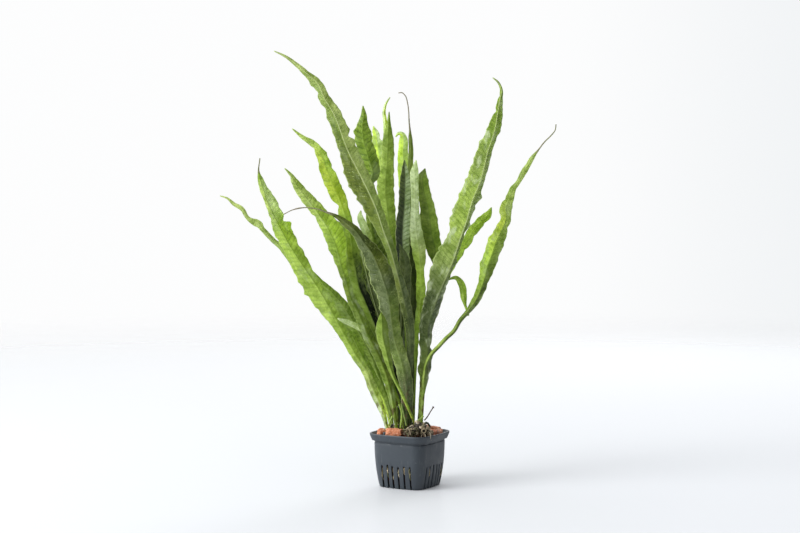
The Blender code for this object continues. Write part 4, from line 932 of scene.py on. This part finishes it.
def blade_grid(name, look, spine, fold, rng):
    """The columns from the left margin to the right one, and how far across and back each point lies."""
    t = np.linspace(1.0, -1.0, 2 * COLUMNS_A_SIDE + 1)
    s = np.sign(t) * np.abs(t) ** COLUMN_CROWDING
    across = np.zeros((len(spine.v), len(s)))
    back = np.zeros_like(across)
    rib = spine.rib[:, None]
    for side, half, reach, angle in zip((LEFT, RIGHT), (s > 0, s < 0), spine.reach.T, fold):
        reach = margin_reach(name, side, rng, reach, spine)
        out = np.outer(reach, np.abs(s[half]))
        across[:, half] = out * np.sign(s[half])
        wave = slow_wave(rng, spine.v, MARGIN_WAVES) * look.wave * spine.is_blade
        wave = wave * np.minimum(reach / 5.0, 1.2)
        bent = math.tan(math.radians(angle)) * (np.sqrt(out**2 + rib**2) - rib)
        back[:, half] = bent * spine.is_blade[:, None] + wave[:, None] * np.abs(s[half]) ** 2.2
    return s, across, back


def vein_count(look, spine, s, across, rng):
    """Counts the side veins from the base on. They slant towards the tip, and the two halves take turns."""
    level = spine.v[:, None] - VEIN_SLANT * np.abs(across)
    vein = level / look.pitch + 0.3 * slow_wave(rng, spine.v)[:, None]
    return vein + np.where(s > 0, 0.5, 0.0)


def pucker(order, across, v):
    """Small uneven swellings of the blade, from about -1 to 1."""
    found = np.zeros_like(across)
    for row, at in enumerate(v):
        for column, out in enumerate(across[row]):
            found[row, column] = noise.noise((out * PUCKER_SCALE, at * PUCKER_SCALE, order * 3.7))
    return found


def blade_relief(look, spine, order, s, across, vein):
    """Bulges between the side veins, flatter towards the margin, with small puckers over them."""
    rib = spine.rib[:, None]
    pillow = np.abs(np.sin(math.pi * vein)) ** 0.8 - 0.5
    bulge = pillow * (1 - 0.7 * np.abs(s) ** 4) * look.bulge
    ramp = step_between(np.abs(across), rib, rib + VEIN_RISE) * spine.is_blade[:, None]
    return ramp * (bulge + PUCKER_DEPTH * pucker(order, across, spine.v))


def leaf_rings(spine, turn, s, across, back):
    """A closed ring for each row: over the front from left to right, and over the back to the left again."""
    is_blade = spine.is_blade[:, None]
    inside = np.sqrt(np.maximum(spine.rib[:, None] ** 2 - across**2, 0.0))
    flesh = BLADE_HALF_THICK * np.sqrt(1 - 0.75 * np.abs(s) ** 6) * is_blade
    front_thick = np.sqrt((inside * (1 - 0.5 * is_blade)) ** 2 + flesh**2)
    back_thick = np.sqrt((inside * (1 - 0.1 * is_blade)) ** 2 + flesh**2)
    to_left, to_front = spine.to_left[:, None, :], spine.to_front[:, None, :]
    middle = spine.spots[:, None, :] + to_left * across[..., None] - to_front * back[..., None]
    front = middle + to_front * front_thick[..., None]
    rear = middle - to_front * back_thick[..., None]
    turned = np.array(Matrix.Rotation(math.radians(turn), 3, "Z"))
    return np.concatenate((front, rear[:, ::-1]), axis=1) @ turned.T


def leaf_tint(name, look, spine, s):
    """The palette colours of the two halves, which meet on the midrib, and the brown of a dried tip."""
    on_left = step_between(s, -0.12, 0.12)[None, :, None]
    tint = blend_stations(look.left, spine.share)[:, None] * on_left
    tint = tint + blend_stations(look.right, spine.share)[:, None] * (1 - on_left)
    if name in DRIED_TIPS:
        dried = step_between(-spine.widest, *DRIED_WIDTHS) * step_between(spine.share, 0.6, 0.7)
        dried = dried[:, None, None]
        tint = tint * (1 - dried) + np.array(PALETTE["husk"]) * dried
    return tint


def both_faces(values):
    """The front's values, and the same again for the matching places on the back."""
    return np.concatenate((values, values[:, ::-1]), axis=1)


def store_marks(data, look, spine, order, s, across, vein):
    """Stores what the leaf's material reads: the place on the blade, and how strong each mark is there."""
    ring = 2 * len(s)
    edge = np.broadcast_to(np.abs(s), across.shape) * spine.is_blade[:, None]
    on_rib = np.clip(1 - np.abs(across) / (1.6 * spine.rib[:, None]), 0, 1) * 0.999
    point_values(data, "blade", np.stack([both_faces(values) for values in (edge, vein, on_rib)], axis=-1))
    flecks = look.flecks * step_between(spine.widest, 2.0, 6.0)
    # the third mark is the strength of the painted sheen
    marks = np.stack((look.bands * spine.is_blade, flecks, look.film * spine.is_blade), axis=-1)
    point_values(data, "marks", np.repeat(marks, ring, axis=0))
    point_values(data, "height", np.repeat(spine.share, ring))
    point_values(data, "midrib", np.repeat(look.midrib * step_between(spine.share, 0.25, 0.6), ring))
    along = np.repeat(spine.v[:, None] + PATTERN_SHIFT * order, ring, axis=1)
    uv = np.stack((both_faces(across), along), axis=-1).reshape(-1, 2)
    corners = np.zeros(len(data.loops), dtype=np.int32)
    data.loops.foreach_get("vertex_index", corners)
    data.uv_layers.new(name="leaf").data.foreach_set("uv", uv[corners].astype(np.float32).ravel())


def fine_leaf(spec, order, finishes):
    """A thin folded blade with a raised midrib, bulges between its side veins and a waved margin."""
    name, turn, fold, places = spec
    look = LOOKS[name]
    rng = random.Random(order + 11)
    spine = leaf_spine(places, turn)
    s, across, back = blade_grid(name, look, spine, fold, rng)
    vein = vein_count(look, spine, s, across, rng)
    back -= blade_relief(look, spine, order, s, across, vein)
    tint = both_faces(leaf_tint(name, look, spine, s))
    shape = Shape()
    shape.loft(leaf_rings(spine, turn, s, across, back), tint.reshape(-1, 3))
    leaf = shape.piece("fine_" + name, finishes[look.finish], (name,))
    store_marks(leaf.data, look, spine, order, s, across, vein)


def point_values(data, name, values):
    """Stores one number or three numbers for each point of a mesh."""
    values = np.asarray(values, dtype=np.float32)
    many = values.size != len(data.vertices)
    layer = data.attributes.new(name, "FLOAT_VECTOR" if many else "FLOAT", "POINT")
    layer.data.foreach_set("vector" if many else "value", values.ravel())


def pot_width_at(z):
    """The body's outer width under the rim band: nearly upright at the top, curving in at the bottom."""
    share = min(z / RIM_FOOT, 1.0)
    return POT_BASE_WIDTH + (BODY_TOP_WIDTH - POT_BASE_WIDTH) * (1 - (1 - share) ** BODY_CURVE)


def rounded_square(width, z):
    """The outline of the pot at one height, going round to the left. Its sides bow out a little."""
    radius = width * CORNER_SHARE
    middle = width / 2 - radius
    points = []
    for side in range(4):
        turn = side_turn(side)
        corner = turn @ Vector((middle, middle, 0))
        for step in range(CORNER_STEPS + 1):
            angle = POT_TURN + side * math.pi / 2 + math.pi / 2 * step / CORNER_STEPS
            points.append(corner + Vector((radius * math.cos(angle), radius * math.sin(angle), z)))
        for step in range(1, SIDE_STEPS):
            t = 2 * step / SIDE_STEPS - 1
            points.append(turn @ Vector((-middle * t, width / 2 + SIDE_BULGE * (1 - t * t), z)))
    return np.array(points)


def pot_profile():
    """Heights and outer widths of the pot: up the inside, over the lip and down the outside."""
    lip = POT_HEIGHT
    groove = RIM_FOOT - GROOVE_DROP
    wall = 2 * POT_WALL
    inner = [(POT_WALL, pot_width_at(POT_WALL) - wall - 1.2), (POT_WALL + 0.6, pot_width_at(1.6) - wall)]
    inner += [(z, pot_width_at(z) - wall) for z in (6.0, 12.0, 20.0, 28.0, RIM_FOOT - 0.6)]
    inner += [(RIM_FOOT + 1.6, RIM_FOOT_WIDTH - wall), (lip - 0.4, POT_WIDTH - wall)]
    over = [(lip - 0.1, POT_WIDTH - 0.8 * wall), (lip, POT_WIDTH - 0.5 * wall), (lip - 0.1, POT_WIDTH - 0.3)]
    over += [(lip - 0.45, POT_WIDTH), (lip - 1.6, POT_WIDTH - 0.25)]
    outer = [(RIM_FOOT + 0.5, RIM_FOOT_WIDTH + 0.15), (RIM_FOOT + 0.1, RIM_FOOT_WIDTH)]
    outer += [(RIM_FOOT, RIM_FOOT_WIDTH - 0.25), (RIM_FOOT, pot_width_at(RIM_FOOT) + 0.35)]
    outer += [(RIM_FOOT - 0.15, pot_width_at(RIM_FOOT) + 0.05)]
    in_groove = pot_width_at(groove) - 2 * GROOVE_DEPTH
    outer += [(groove + 0.4, pot_width_at(groove)), (groove + 0.15, in_groove)]
    outer += [(groove - 0.15, in_groove), (groove - 0.45, pot_width_at(groove - 0.45))]
    outer += [(z, pot_width_at(z)) for z in (33.0, 29.0, 25.0, 21.0, 17.0, 13.0, 10.0, 7.0, 4.0, 2.0, 0.9)]
    outer += [(0.35, POT_BASE_WIDTH - 0.5), (0.08, POT_BASE_WIDTH - 1.1), (0.0, POT_BASE_WIDTH - 1.8)]
    return inner + over + outer


def slit_places():
    """Each slit's side of the pot and its place along that side."""
    for side in range(4):
        for slit in range(SLITS_A_SIDE):
            yield side, (slit - (SLITS_A_SIDE - 1) / 2) * SLIT_PITCH


def slit_cutters():
    """The slits as bars with blunt tops, a little uneven. They run down the wall and on under the base."""
    rng = random.Random(23)
    shape = Shape()
    for side, place in slit_places():
        along = place + rng.uniform(-0.25, 0.25)
        half = SLIT_WIDTH / 2 * rng.uniform(0.95, 1.35)
        tall = SLIT_HEIGHT - rng.uniform(0.0, 1.4)
        lean = rng.uniform(-0.4, 0.4)
        outline = ((-half, -1.0), (half, -1.0), (lean + half, tall - 0.8), (lean + half * 0.6, tall - 0.15))
        outline += ((lean, tall), (lean - half * 0.6, tall - 0.15), (lean - half, tall - 0.8))
        rings = [[(along + x, y, z) for x, z in outline] for y in (SLIT_OUTER_END, SLIT_INNER_END)]
        shape.loft(np.array(rings) @ np.array(side_turn(side)).T)
    return new_object("slit_cutters", shape.mesh("slit_cutters"))


def fine_pot():
    """The pot as one closed body: its turned outline, with the slits cut out and every edge softened."""
    shape = Shape()
    rings = [rounded_square(width, z) for z, width in pot_profile()]
    shape.loft(rings[::-1])
    pot = new_object("fine_net_pot", shape.mesh("fine_net_pot"))
    cutter = slit_cutters()
    cut = pot.modifiers.new("slits", "BOOLEAN")
    cut.object = cutter
    cut.solver = "EXACT"
    soften = pot.modifiers.new("soften", "BEVEL")
    soften.width = POT_EDGE * MM
    soften.segments = 2
    soften.limit_method = "ANGLE"
    soften.angle_limit = math.radians(50)
    whole = bpy.data.meshes.new_from_object(pot.evaluated_get(bpy.context.evaluated_depsgraph_get()))
    bpy.data.objects.remove(pot)
    bpy.data.objects.remove(cutter)
    whole.name = "fine_net_pot"
    whole.materials.append(plastic_material())
    whole.shade_smooth()
    whole.set_sharp_from_angle(angle=math.radians(38))
    place_piece("fine_net_pot", whole, ("net_pot",))


def granule(shape, rng, middle, length, thickness, turn, tilt, tone, detail):
    """A chipped block of fired clay with blunt, pitted ends. One end is darker."""
    rows = detail
    sides = detail + 4
    seed = Vector([rng.uniform(-90, 90) for _ in range(3)])
    rotate = Matrix.Rotation(turn, 3, "Z") @ Matrix.Rotation(tilt, 3, "Y")
    middle = Vector(middle)
    rings = []
    for row in range(rows + 1):
        t = 2 * row / rows - 1
        radius = max(thickness / 2 * max(1 - abs(t) ** 10, 0.0) ** 0.3, 0.04)
        ring = []
        for side in range(sides):
            angle = 2 * math.pi * side / sides
            blocky = (math.cos(angle) ** 4 + math.sin(angle) ** 4) ** -0.25 * 0.94
            reach = radius * blocky
            spot = Vector((t * length / 2, reach * math.cos(angle), reach * math.sin(angle)))
            rough = 1 + 0.22 * noise.noise(spot * 0.33 + seed) + 0.10 * noise.noise(spot * 0.9 + seed)
            pit = 0.30 * max(noise.noise(spot * 0.75 - seed) - 0.22, 0.0)
            ring.append(rotate @ (spot * min(rough - pit, 1.06)) + middle)
        rings.append(ring)
    dark_end = 1 - 0.72 * step_between(np.linspace(-1, 1, rows + 1), 0.80, 0.97)
    shape.loft(rings, np.repeat(np.outer(dark_end, tone), sides, axis=0))


# Loose clay granules on top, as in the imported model: name, x, y, length, thickness, turn and tilt in degrees,
# and tone
GRANULES = (
    ("clay_granule_big", -12, -15.6, 13.5, 7.6, -14, 2, (1.0, 1.0, 1.0)),
    ("clay_granule_front_left", -22.4, -8.6, 6.2, 5.0, 40, 10, (1.0, 0.95, 0.9)),
    ("clay_granule_left", -22, -1.4, 6.6, 5.0, 110, -8, (0.9, 0.9, 0.9)),
    ("clay_granule_back_left", -15.2, 12.4, 8.4, 6.0, 35, 6, (0.95, 1.05, 1.0)),
    ("clay_granule_back", -6.4, 23.2, 7.6, 5.6, -12, 5, (1.0, 0.95, 0.95)),
    ("clay_granule_back_right", 4.4, 20, 7.0, 5.4, -32, -6, (0.9, 0.85, 0.85)),
    ("clay_granule_far_corner", 14, 15.2, 8.2, 5.8, -32, 4, (1.05, 1.2, 1.3)),
    ("clay_granule_right", 20.4, 6.4, 8.0, 5.8, -30, 5, (1.05, 1.15, 1.35)),
    ("clay_granule_right_edge", 23.4, -1.2, 6.4, 4.8, 80, -5, (1.05, 1.3, 1.6)),
    ("clay_granule_front_right", 17.4, -6.4, 7.6, 5.4, 12, 6, (0.95, 0.95, 1.1)),
    ("clay_granule_front", 15.0, -14.8, 6.6, 5.0, -35, -6, (0.62, 0.66, 0.6)),
)


def loose_granules(finish):
    """The granules on top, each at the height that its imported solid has."""
    for order, (name, x, y, length, thickness, turn, tilt, tone) in enumerate(GRANULES):
        rng = random.Random(order + 301)
        low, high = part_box(name)
        middle = (x, y, (low.z + high.z) / 2 / MM)
        turn, tilt = math.radians(turn), math.radians(tilt)
        shape = Shape()
        granule(shape, rng, middle, length, thickness * LOOSE_SWELL, turn, tilt, tone, LOOSE_DETAIL)
        shape.piece("fine_" + name, finish, (name,))


def in_pot(rng, width):
    """A random place within a square of this width, turned as the pot is."""
    spot = Vector((rng.uniform(-width / 2, width / 2), rng.uniform(-width / 2, width / 2), 0))
    return side_turn(0) @ spot


def clay_filling(finish):
    """The packed clay: a heart tinted near-black as painted shade inside the pot, granules over the top and
    darkened granules behind each wall, also painted shade, and one grey stone.
    """
    rng = random.Random(71)
    shape = Shape()
    inset = 2 * (POT_WALL + HEART_GAP)
    profile = [(z, pot_width_at(z) - inset) for z in (POT_WALL + 0.4, 8.0, 20.0, 32.0)]
    profile += [(BED_TOP - 3.0, BODY_TOP_WIDTH - inset), (BED_TOP - 2.4, BODY_TOP_WIDTH - inset - 8.0)]
    shape.loft([rounded_square(width, z) for z, width in profile], HEART_SHADE)
    for _ in range(TOP_GRANULES):
        spot = in_pot(rng, BODY_TOP_WIDTH - 2 * POT_WALL - TOP_MARGIN)
        middle = (spot.x, spot.y, BED_TOP - rng.uniform(0.8, 3.4))
        tone = np.array((1.0, rng.uniform(0.85, 1.1), rng.uniform(0.8, 1.2))) * rng.uniform(0.5, 0.95)
        length, thickness = rng.uniform(3.0, 5.6), rng.uniform(2.4, 3.8)
        turn, tilt = rng.uniform(0, math.pi), rng.uniform(-0.4, 0.4)
        granule(shape, rng, middle, length, thickness, turn, tilt, tone, BED_DETAIL)
    for side in range(4):
        for _ in range(WALL_GRANULES):
            z = rng.uniform(3.0, 21.0)
            reach = pot_width_at(z) / 2 - POT_WALL - 2.6
            spot = side_turn(side) @ Vector((rng.uniform(-15, 15), reach, 0))
            # painted shade: the granules behind the walls are darkened
            tone = np.array((1.0, 1.0, 1.0)) * rng.uniform(0.08, 0.4)
            turn, tilt = rng.uniform(0, math.pi), rng.uniform(-1, 1)
            granule(shape, rng, (spot.x, spot.y, z), 4.2, 3.0, turn, tilt, tone, BED_DETAIL)
    granule(shape, rng, GREY_STONE_PLACE, 3.6, 3.2, 0.4, 0.2, GREY_STONE, STONE_DETAIL)
    shape.piece("fine_clay_bed", finish, ("clay_bed",))


# Woody pieces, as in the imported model: name and route as x, y, z and radius
STEMS = (
    ("rhizome", ((-15.6, 3, 44.3, 2.4), (-11, 1, 44.8, 3.2), (-4, -1, 45, 3.3), (3, -1, 45, 3.3),
                 (8.4, 2.4, 44.6, 3.2), (9.4, 8, 44, 2.8), (7, 12, 43.6, 2.2))),
    ("rhizome_front_fork", ((-1.8, -17, 43.2, 2), (1, -18.2, 45, 3.2), (4.5, -18.5, 47.6, 4.2),
                            (9, -17.6, 48.2, 4.4), (11, -19.4, 46.9, 3.4), (10.8, -23.2, 46.2, 2.6))),
)
# Thin stalks and roots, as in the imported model: name, colour, radius, and route as x, y, z
THIN_STEMS = (
    ("young_stalk_left", "fresh", 0.65,
     ((-16.8, -9.6, 48.6), (-15.2, -9.4, 52.4), (-13.6, -9.2, 56.4))),
    ("young_stalk_middle", "fresh", 0.75,
     ((-7.2, -11.6, 47), (-6.6, -12.4, 53), (-6.5, -12.8, 59), (-8.6, -13.2, 66))),
    ("young_stalk_right", "moss", 0.6,
     ((-2.6, -14.4, 49), (-4.6, -15.4, 57), (-6.8, -16, 66.4))),
    ("green_shoot", "fresh", 0.9,
     ((6.2, -14.4, 52.8), (8, -13.6, 54.2), (10.6, -12.8, 56.6))),
    ("dead_leaf_stalk", "brown", 0.5,
     ((11.3, -15.2, 53.4), (13.5, -14.6, 56), (16, -14, 60), (18.6, -13.4, 64))),
    ("root_dark_curl", "deep", 0.8,
     ((12.2, -14.4, 51.6), (14.2, -13.6, 50.6), (15.4, -14, 48.2), (14.4, -15.2, 46.4))),
)
GREEN_STALKS = ("young_stalk_left", "young_stalk_middle", "young_stalk_right", "green_shoot")

# Tones of roots and old leaf stumps, as albedo, and how often each comes up
HEART_TONE = (0.045, 0.035, 0.022)
ROOT_TONES = (
    (0.075, 0.060, 0.030), (0.16, 0.130, 0.068), (0.12, 0.120, 0.050), (0.020, 0.017, 0.012),
    (0.34, 0.28, 0.175), (0.62, 0.54, 0.39),
)
ROOT_CHANCES = (3, 4, 3, 3, 6, 3)

# Places in the list of tones: the black bark tone, used as painted shade in the rhizome's hollow end, the pale
# bark, and the roots behind the slits
HOLLOW_SHADE = 3
PALE_BARK = 4
SLIT_ROOT_TONES = (1, 2, 4, 4, 5)

# The rhizome's cut end, ring by ring: its share of the width, how far it lies inward, and its root tone. The
# rings that lie inward are near-black: painted shade in the hollow.
CUT_END = (
    (0.82, -0.35, PALE_BARK), (0.60, -0.15, PALE_BARK), (0.52, 0.7, HOLLOW_SHADE), (0.46, 1.8, HOLLOW_SHADE),
    (0.3, 2.4, HOLLOW_SHADE),
)
GRAIN_TONE = (0.44, 0.36, 0.25)


def root_tone(rng):
    return rng.choices(ROOT_TONES, ROOT_CHANCES)[0]


def stem_frame(path):
    """Directions along a stem, across it and up from it, for each of its points."""
    along = unit(np.gradient(path, axis=0))
    across = unit(np.cross(along, (0, 0, 1.0)))
    return along, across, np.cross(across, along)


def stem_body(route, length, along, across, up, order):
    """Rings and tones of a lumpy, scarred stem. Its last end is cut and hollow, with a pale rim and painted
    shade in the hollow.
    """
    rings = []
    seed = Vector((order * 9.0, 0, 0))
    for i, (*spot, radius) in enumerate(route):
        scar = 1 + 0.10 * (i / STEM_ROWS * length / 2.6 % 1.0 - 0.5)
        ring = []
        for side in range(STEM_SIDES):
            angle = side * 2 * math.pi / STEM_SIDES
            out = across[i] * math.cos(angle) + up[i] * math.sin(angle)
            place = Vector(spot + out * radius)
            lump = 0.20 * noise.noise(place * 0.30 + seed) + 0.10 * noise.noise(place * 0.9)
            ring.append(spot + out * radius * 0.72 * scar * (1 + lump))
        rings.append(ring)
    tones = [HEART_TONE] * (STEM_ROWS - RIM_ROWS) + [ROOT_TONES[PALE_BARK]] * RIM_ROWS
    end, last = route[-1, :3], np.array(rings[-1])
    for shrink, inward, tone in CUT_END:
        rings.append(end + (last - end) * shrink - along[-1] * inward)
        tones.append(ROOT_TONES[tone])
    return rings, tones


def fine_stem(name, places, finish, order):
    """A rhizome under a thatch of root stumps."""
    rng = random.Random(order + 501)
    route, length = smooth_route(places, STEM_ROWS)
    path = route[:, :3]
    along, across, up = stem_frame(path)
    rings, tones = stem_body(route, length, along, across, up, order)
    shape = Shape()
    shape.loft(rings, np.repeat(tones, STEM_SIDES, axis=0))
    for _ in range(STUMPS):
        i = rng.randrange(3, STEM_ROWS - 8)
        angle = rng.uniform(-1.1, math.pi + 1.1)
        out = across[i] * math.cos(angle) + up[i] * math.sin(angle)
        start = path[i] + out * route[i, 3] * 0.66
        sideways = np.cross(along[i], out) * rng.uniform(-3.8, 3.8) + along[i] * rng.uniform(-3.0, 3.0)
        bend = start + sideways * 0.5 + out * rng.uniform(0.5, 1.7)
        tip = start + sideways - out * rng.uniform(-1.4, 0.3)
        thick = rng.uniform(0.55, 1.25)
        curl, _ = smooth_route([(*place, 1.0) for place in (start, bend, tip)], 8)
        shape.tube(curl[:, :3], thick * np.linspace(1.0, rng.uniform(0.35, 0.8), 8), 8, root_tone(rng))
    shape.piece("fine_" + name, finish, (name,))


def fine_thin_stem(spec, bark, green, order):
    """A thin stalk or root with small knots. The dead stalk ends in a little knob."""
    name, colour, radius, places = spec
    rng = random.Random(order + 601)
    path, length = smooth_route([(*place, 1.0) for place in places], THIN_ROWS)
    share = np.linspace(0, 1, THIN_ROWS)
    radii = radius * (1.05 - 0.25 * share + 0.10 * slow_wave(rng, share * length, (3.1, 1.7, 0.9)))
    if name == "dead_leaf_stalk":
        radii += 0.45 * np.exp(-(((share - 0.95) / 0.05) ** 2))
    radii[-1] *= 0.4
    shape = Shape()
    shape.tube(path[:, :3], radii, 14, PALETTE[colour])
    finish, slot = (green, "leaf_green") if name in GREEN_STALKS else (bark, "rhizome_bark")
    shape.piece("fine_" + name, finish, (name,))


def hair_roots(shape, rng):
    """Fine roots. Most start round the front fork, the others over the rhizome."""
    steps = 9
    t = np.linspace(0, 1, steps)
    for _ in range(FINE_ROOTS):
        heart = np.array((rng.uniform(-3, 13), rng.uniform(-21, -9), 0))
        if rng.random() < 0.45:
            heart = np.array((rng.uniform(-16, 10), rng.uniform(-6, 10), 0))
        start = heart + (0, 0, rng.uniform(42, 48.5))
        way = rng.uniform(0, 2 * math.pi)
        run = rng.uniform(3, 7)
        path = np.stack((
            run * t * math.cos(way) + 0.8 * np.sin(5 * t + way),
            run * t * math.sin(way) + 0.8 * np.cos(4 * t + way),
            1.6 * np.sin(math.pi * t) * rng.uniform(0.4, 1.0) - 4.5 * t * t,
        ), axis=1)
        shape.tube(start + path, rng.uniform(0.2, 0.6) * np.linspace(1, 0.5, steps), 7, root_tone(rng))


def crumbly_clump(shape, rng):
    """Small grains that cling to the roots at the front right."""
    for _ in range(ROOT_GRAINS):
        spread = Vector([rng.gauss(0, 1) for _ in range(3)]).normalized() * rng.uniform(0.5, 1.0)
        middle = [at + reach * way for at, reach, way in zip(CLUMP_MIDDLE, CLUMP_REACH, spread)]
        tone = np.array(GRAIN_TONE) * rng.uniform(0.45, 1.35)
        size = rng.uniform(0.9, 1.8)
        turn, tilt = rng.uniform(0, math.pi), rng.uniform(-1, 1)
        granule(shape, rng, middle, size * 1.3, size, turn, tilt, tone, GRAIN_DETAIL)


def slit_roots(shape, rng):
    """Pale roots behind the pot's slits, more of them on the front side and the one across from it. Their tones
    are raised by half as painted light against the shade in the pot.
    """
    rows = 12
    for side, middle in slit_places():
        if rng.random() < (0.1 if side % 2 == 0 else 0.6):
            continue
        for _ in range(rng.randint(2, 4)):
            low = rng.uniform(6.0, 14.0)
            z = np.linspace(low, rng.uniform(low + 3.0, 18.0), rows)
            inside = np.array([pot_width_at(height) / 2 - POT_WALL for height in z])
            bowed = 1.2 - 1.6 * np.linspace(-1, 1, rows) ** 2
            x = middle + rng.uniform(-0.25, 0.25) + 0.18 * np.sin(0.6 * z + rng.uniform(0, 6))
            # painted light: the root tones are raised by half so that they show in the pot's shade
            tone = np.array(ROOT_TONES[rng.choice(SLIT_ROOT_TONES)]) * 1.5
            path = np.stack((x, inside + bowed, z), axis=1) @ np.array(side_turn(side)).T
            shape.tube(path, rng.uniform(0.22, 0.42), 7, tone)


def root_tangle(finish):
    rng = random.Random(88)
    shape = Shape()
    hair_roots(shape, rng)
    crumbly_clump(shape, rng)
    slit_roots(shape, rng)
    shape.piece("fine_roots", finish)


def studio_floor():
    """A plain pale floor with a faint shine. It fades out far away, where the surround takes over."""
    data = bpy.data.meshes.new("studio_floor")
    corners = ((-1, -1), (1, -1), (1, 1), (-1, 1))
    data.from_pydata([(x * FLOOR_REACH, y * FLOOR_REACH, 0) for x, y in corners], [], [(0, 1, 2, 3)])
    floor = new_object("studio_floor", data)
    g = Finish("studio_floor", 0.3)
    g.shader.inputs["IOR"].default_value = 1.03
    away = g.add("ShaderNodeVectorMath", operation="LENGTH")
    g.feed(away.inputs[0], g.where())
    colour = g.mix(g.noise(g.where(), 3.0), (0.600, 0.614, 0.634), (0.610, 0.624, 0.644))
    data.materials.append(g.done(colour))
    fade = g.smooth(away.outputs["Value"], *FLOOR_FADE)
    clear = g.add("ShaderNodeBsdfTransparent").outputs[0]
    g.surface(g.mix_shaders(fade, g.shader.outputs[0], clear))


def studio_surround():
    """The light of a white studio, strongest from the left, behind and above.

    The view itself sees white on the left and a pale grey on the right.
    """
    world = bpy.data.worlds.new("studio")
    bpy.context.scene.world = world
    world.use_nodes = True
    g = Graph(world.node_tree)
    x, y, z = g.split(g.add("ShaderNodeTexCoord").outputs["Generated"])
    from_left = g.smooth(x, -0.9, 0.4, 1.45, 0.06)
    from_back = g.smooth(y, 0.5, 0.95, 0.0, 1.2)
    from_top = g.smooth(z, 0.1, 0.9, 0.0, 0.6)
    light = g.tree.nodes["Background"]
    light.inputs["Color"].default_value = (0.975, 0.985, 1.0, 1.0)
    g.feed(light.inputs["Strength"], g.math("ADD", g.math("ADD", from_left, from_back), from_top))
    seen = g.add("ShaderNodeBackground")
    white = g.mix(g.smooth(x, 0.08, 0.30), (0.982, 0.985, 0.988), (0.880, 0.900, 0.915))
    g.feed(seen.inputs["Color"], white)
    is_view = g.add("ShaderNodeLightPath").outputs["Is Camera Ray"]
    surround = g.mix_shaders(is_view, light.outputs[0], seen.outputs[0])
    g.feed(g.tree.nodes["World Output"].inputs["Surface"], surround)


def soft_lamp(name, place, target, size, watts):
    """A round lamp that faces its target."""
    data = bpy.data.lights.new(name, "AREA")
    data.shape = "DISK"
    data.size = size
    data.energy = watts
    lamp = new_object(name, data)
    lamp.location = place
    lamp.rotation_euler = (Vector(target) - Vector(place)).to_track_quat("-Z", "Y").to_euler()


def studio_light():
    studio_surround()
    soft_lamp("key_left", (-1.45, -0.6, 0.9), (0, 0, 0.17), 1.0, 22.0)
    soft_lamp("back_right", (0.6, 1.3, 0.9), (0, 0, 0.2), 0.8, 8.0)


def studio_camera():
    data = bpy.data.cameras.new("camera")
    data.lens = CAMERA_LENS
    data.sensor_width = 36.0
    data.clip_start = 0.05
    data.clip_end = 100.0
    camera = new_object("camera", data)
    camera.location = VIEW_POINT * MM
    camera.rotation_euler = (CAMERA_TILT, 0, 0)
    bpy.context.scene.camera = camera
    bpy.context.scene.view_settings.view_transform = "Standard"


def main():
    studio_camera()
    studio_floor()
    studio_light()
    finishes = {name: leaf_material("leaf_" + name, *numbers) for name, numbers in LEAF_FINISHES.items()}
    for order, spec in enumerate(LEAVES):
        fine_leaf(spec, order, finishes)
    fine_pot()
    loose_granules(clay_material(
        "loose_clay", light=(0.66, 0.28, 0.15), dark=(0.47, 0.155, 0.075), dusty=(0.74, 0.45, 0.33)))
    clay_filling(clay_material(
        "clay", light=(0.58, 0.21, 0.11), dark=(0.34, 0.10, 0.05), dusty=(0.62, 0.36, 0.26)))
    bark = bark_material()
    for order, (name, places) in enumerate(STEMS):
        fine_stem(name, places, bark, order)
    green = stalk_material()
    for order, spec in enumerate(THIN_STEMS):
        fine_thin_stem(spec, bark, green, order)
    root_tangle(bark)


main()
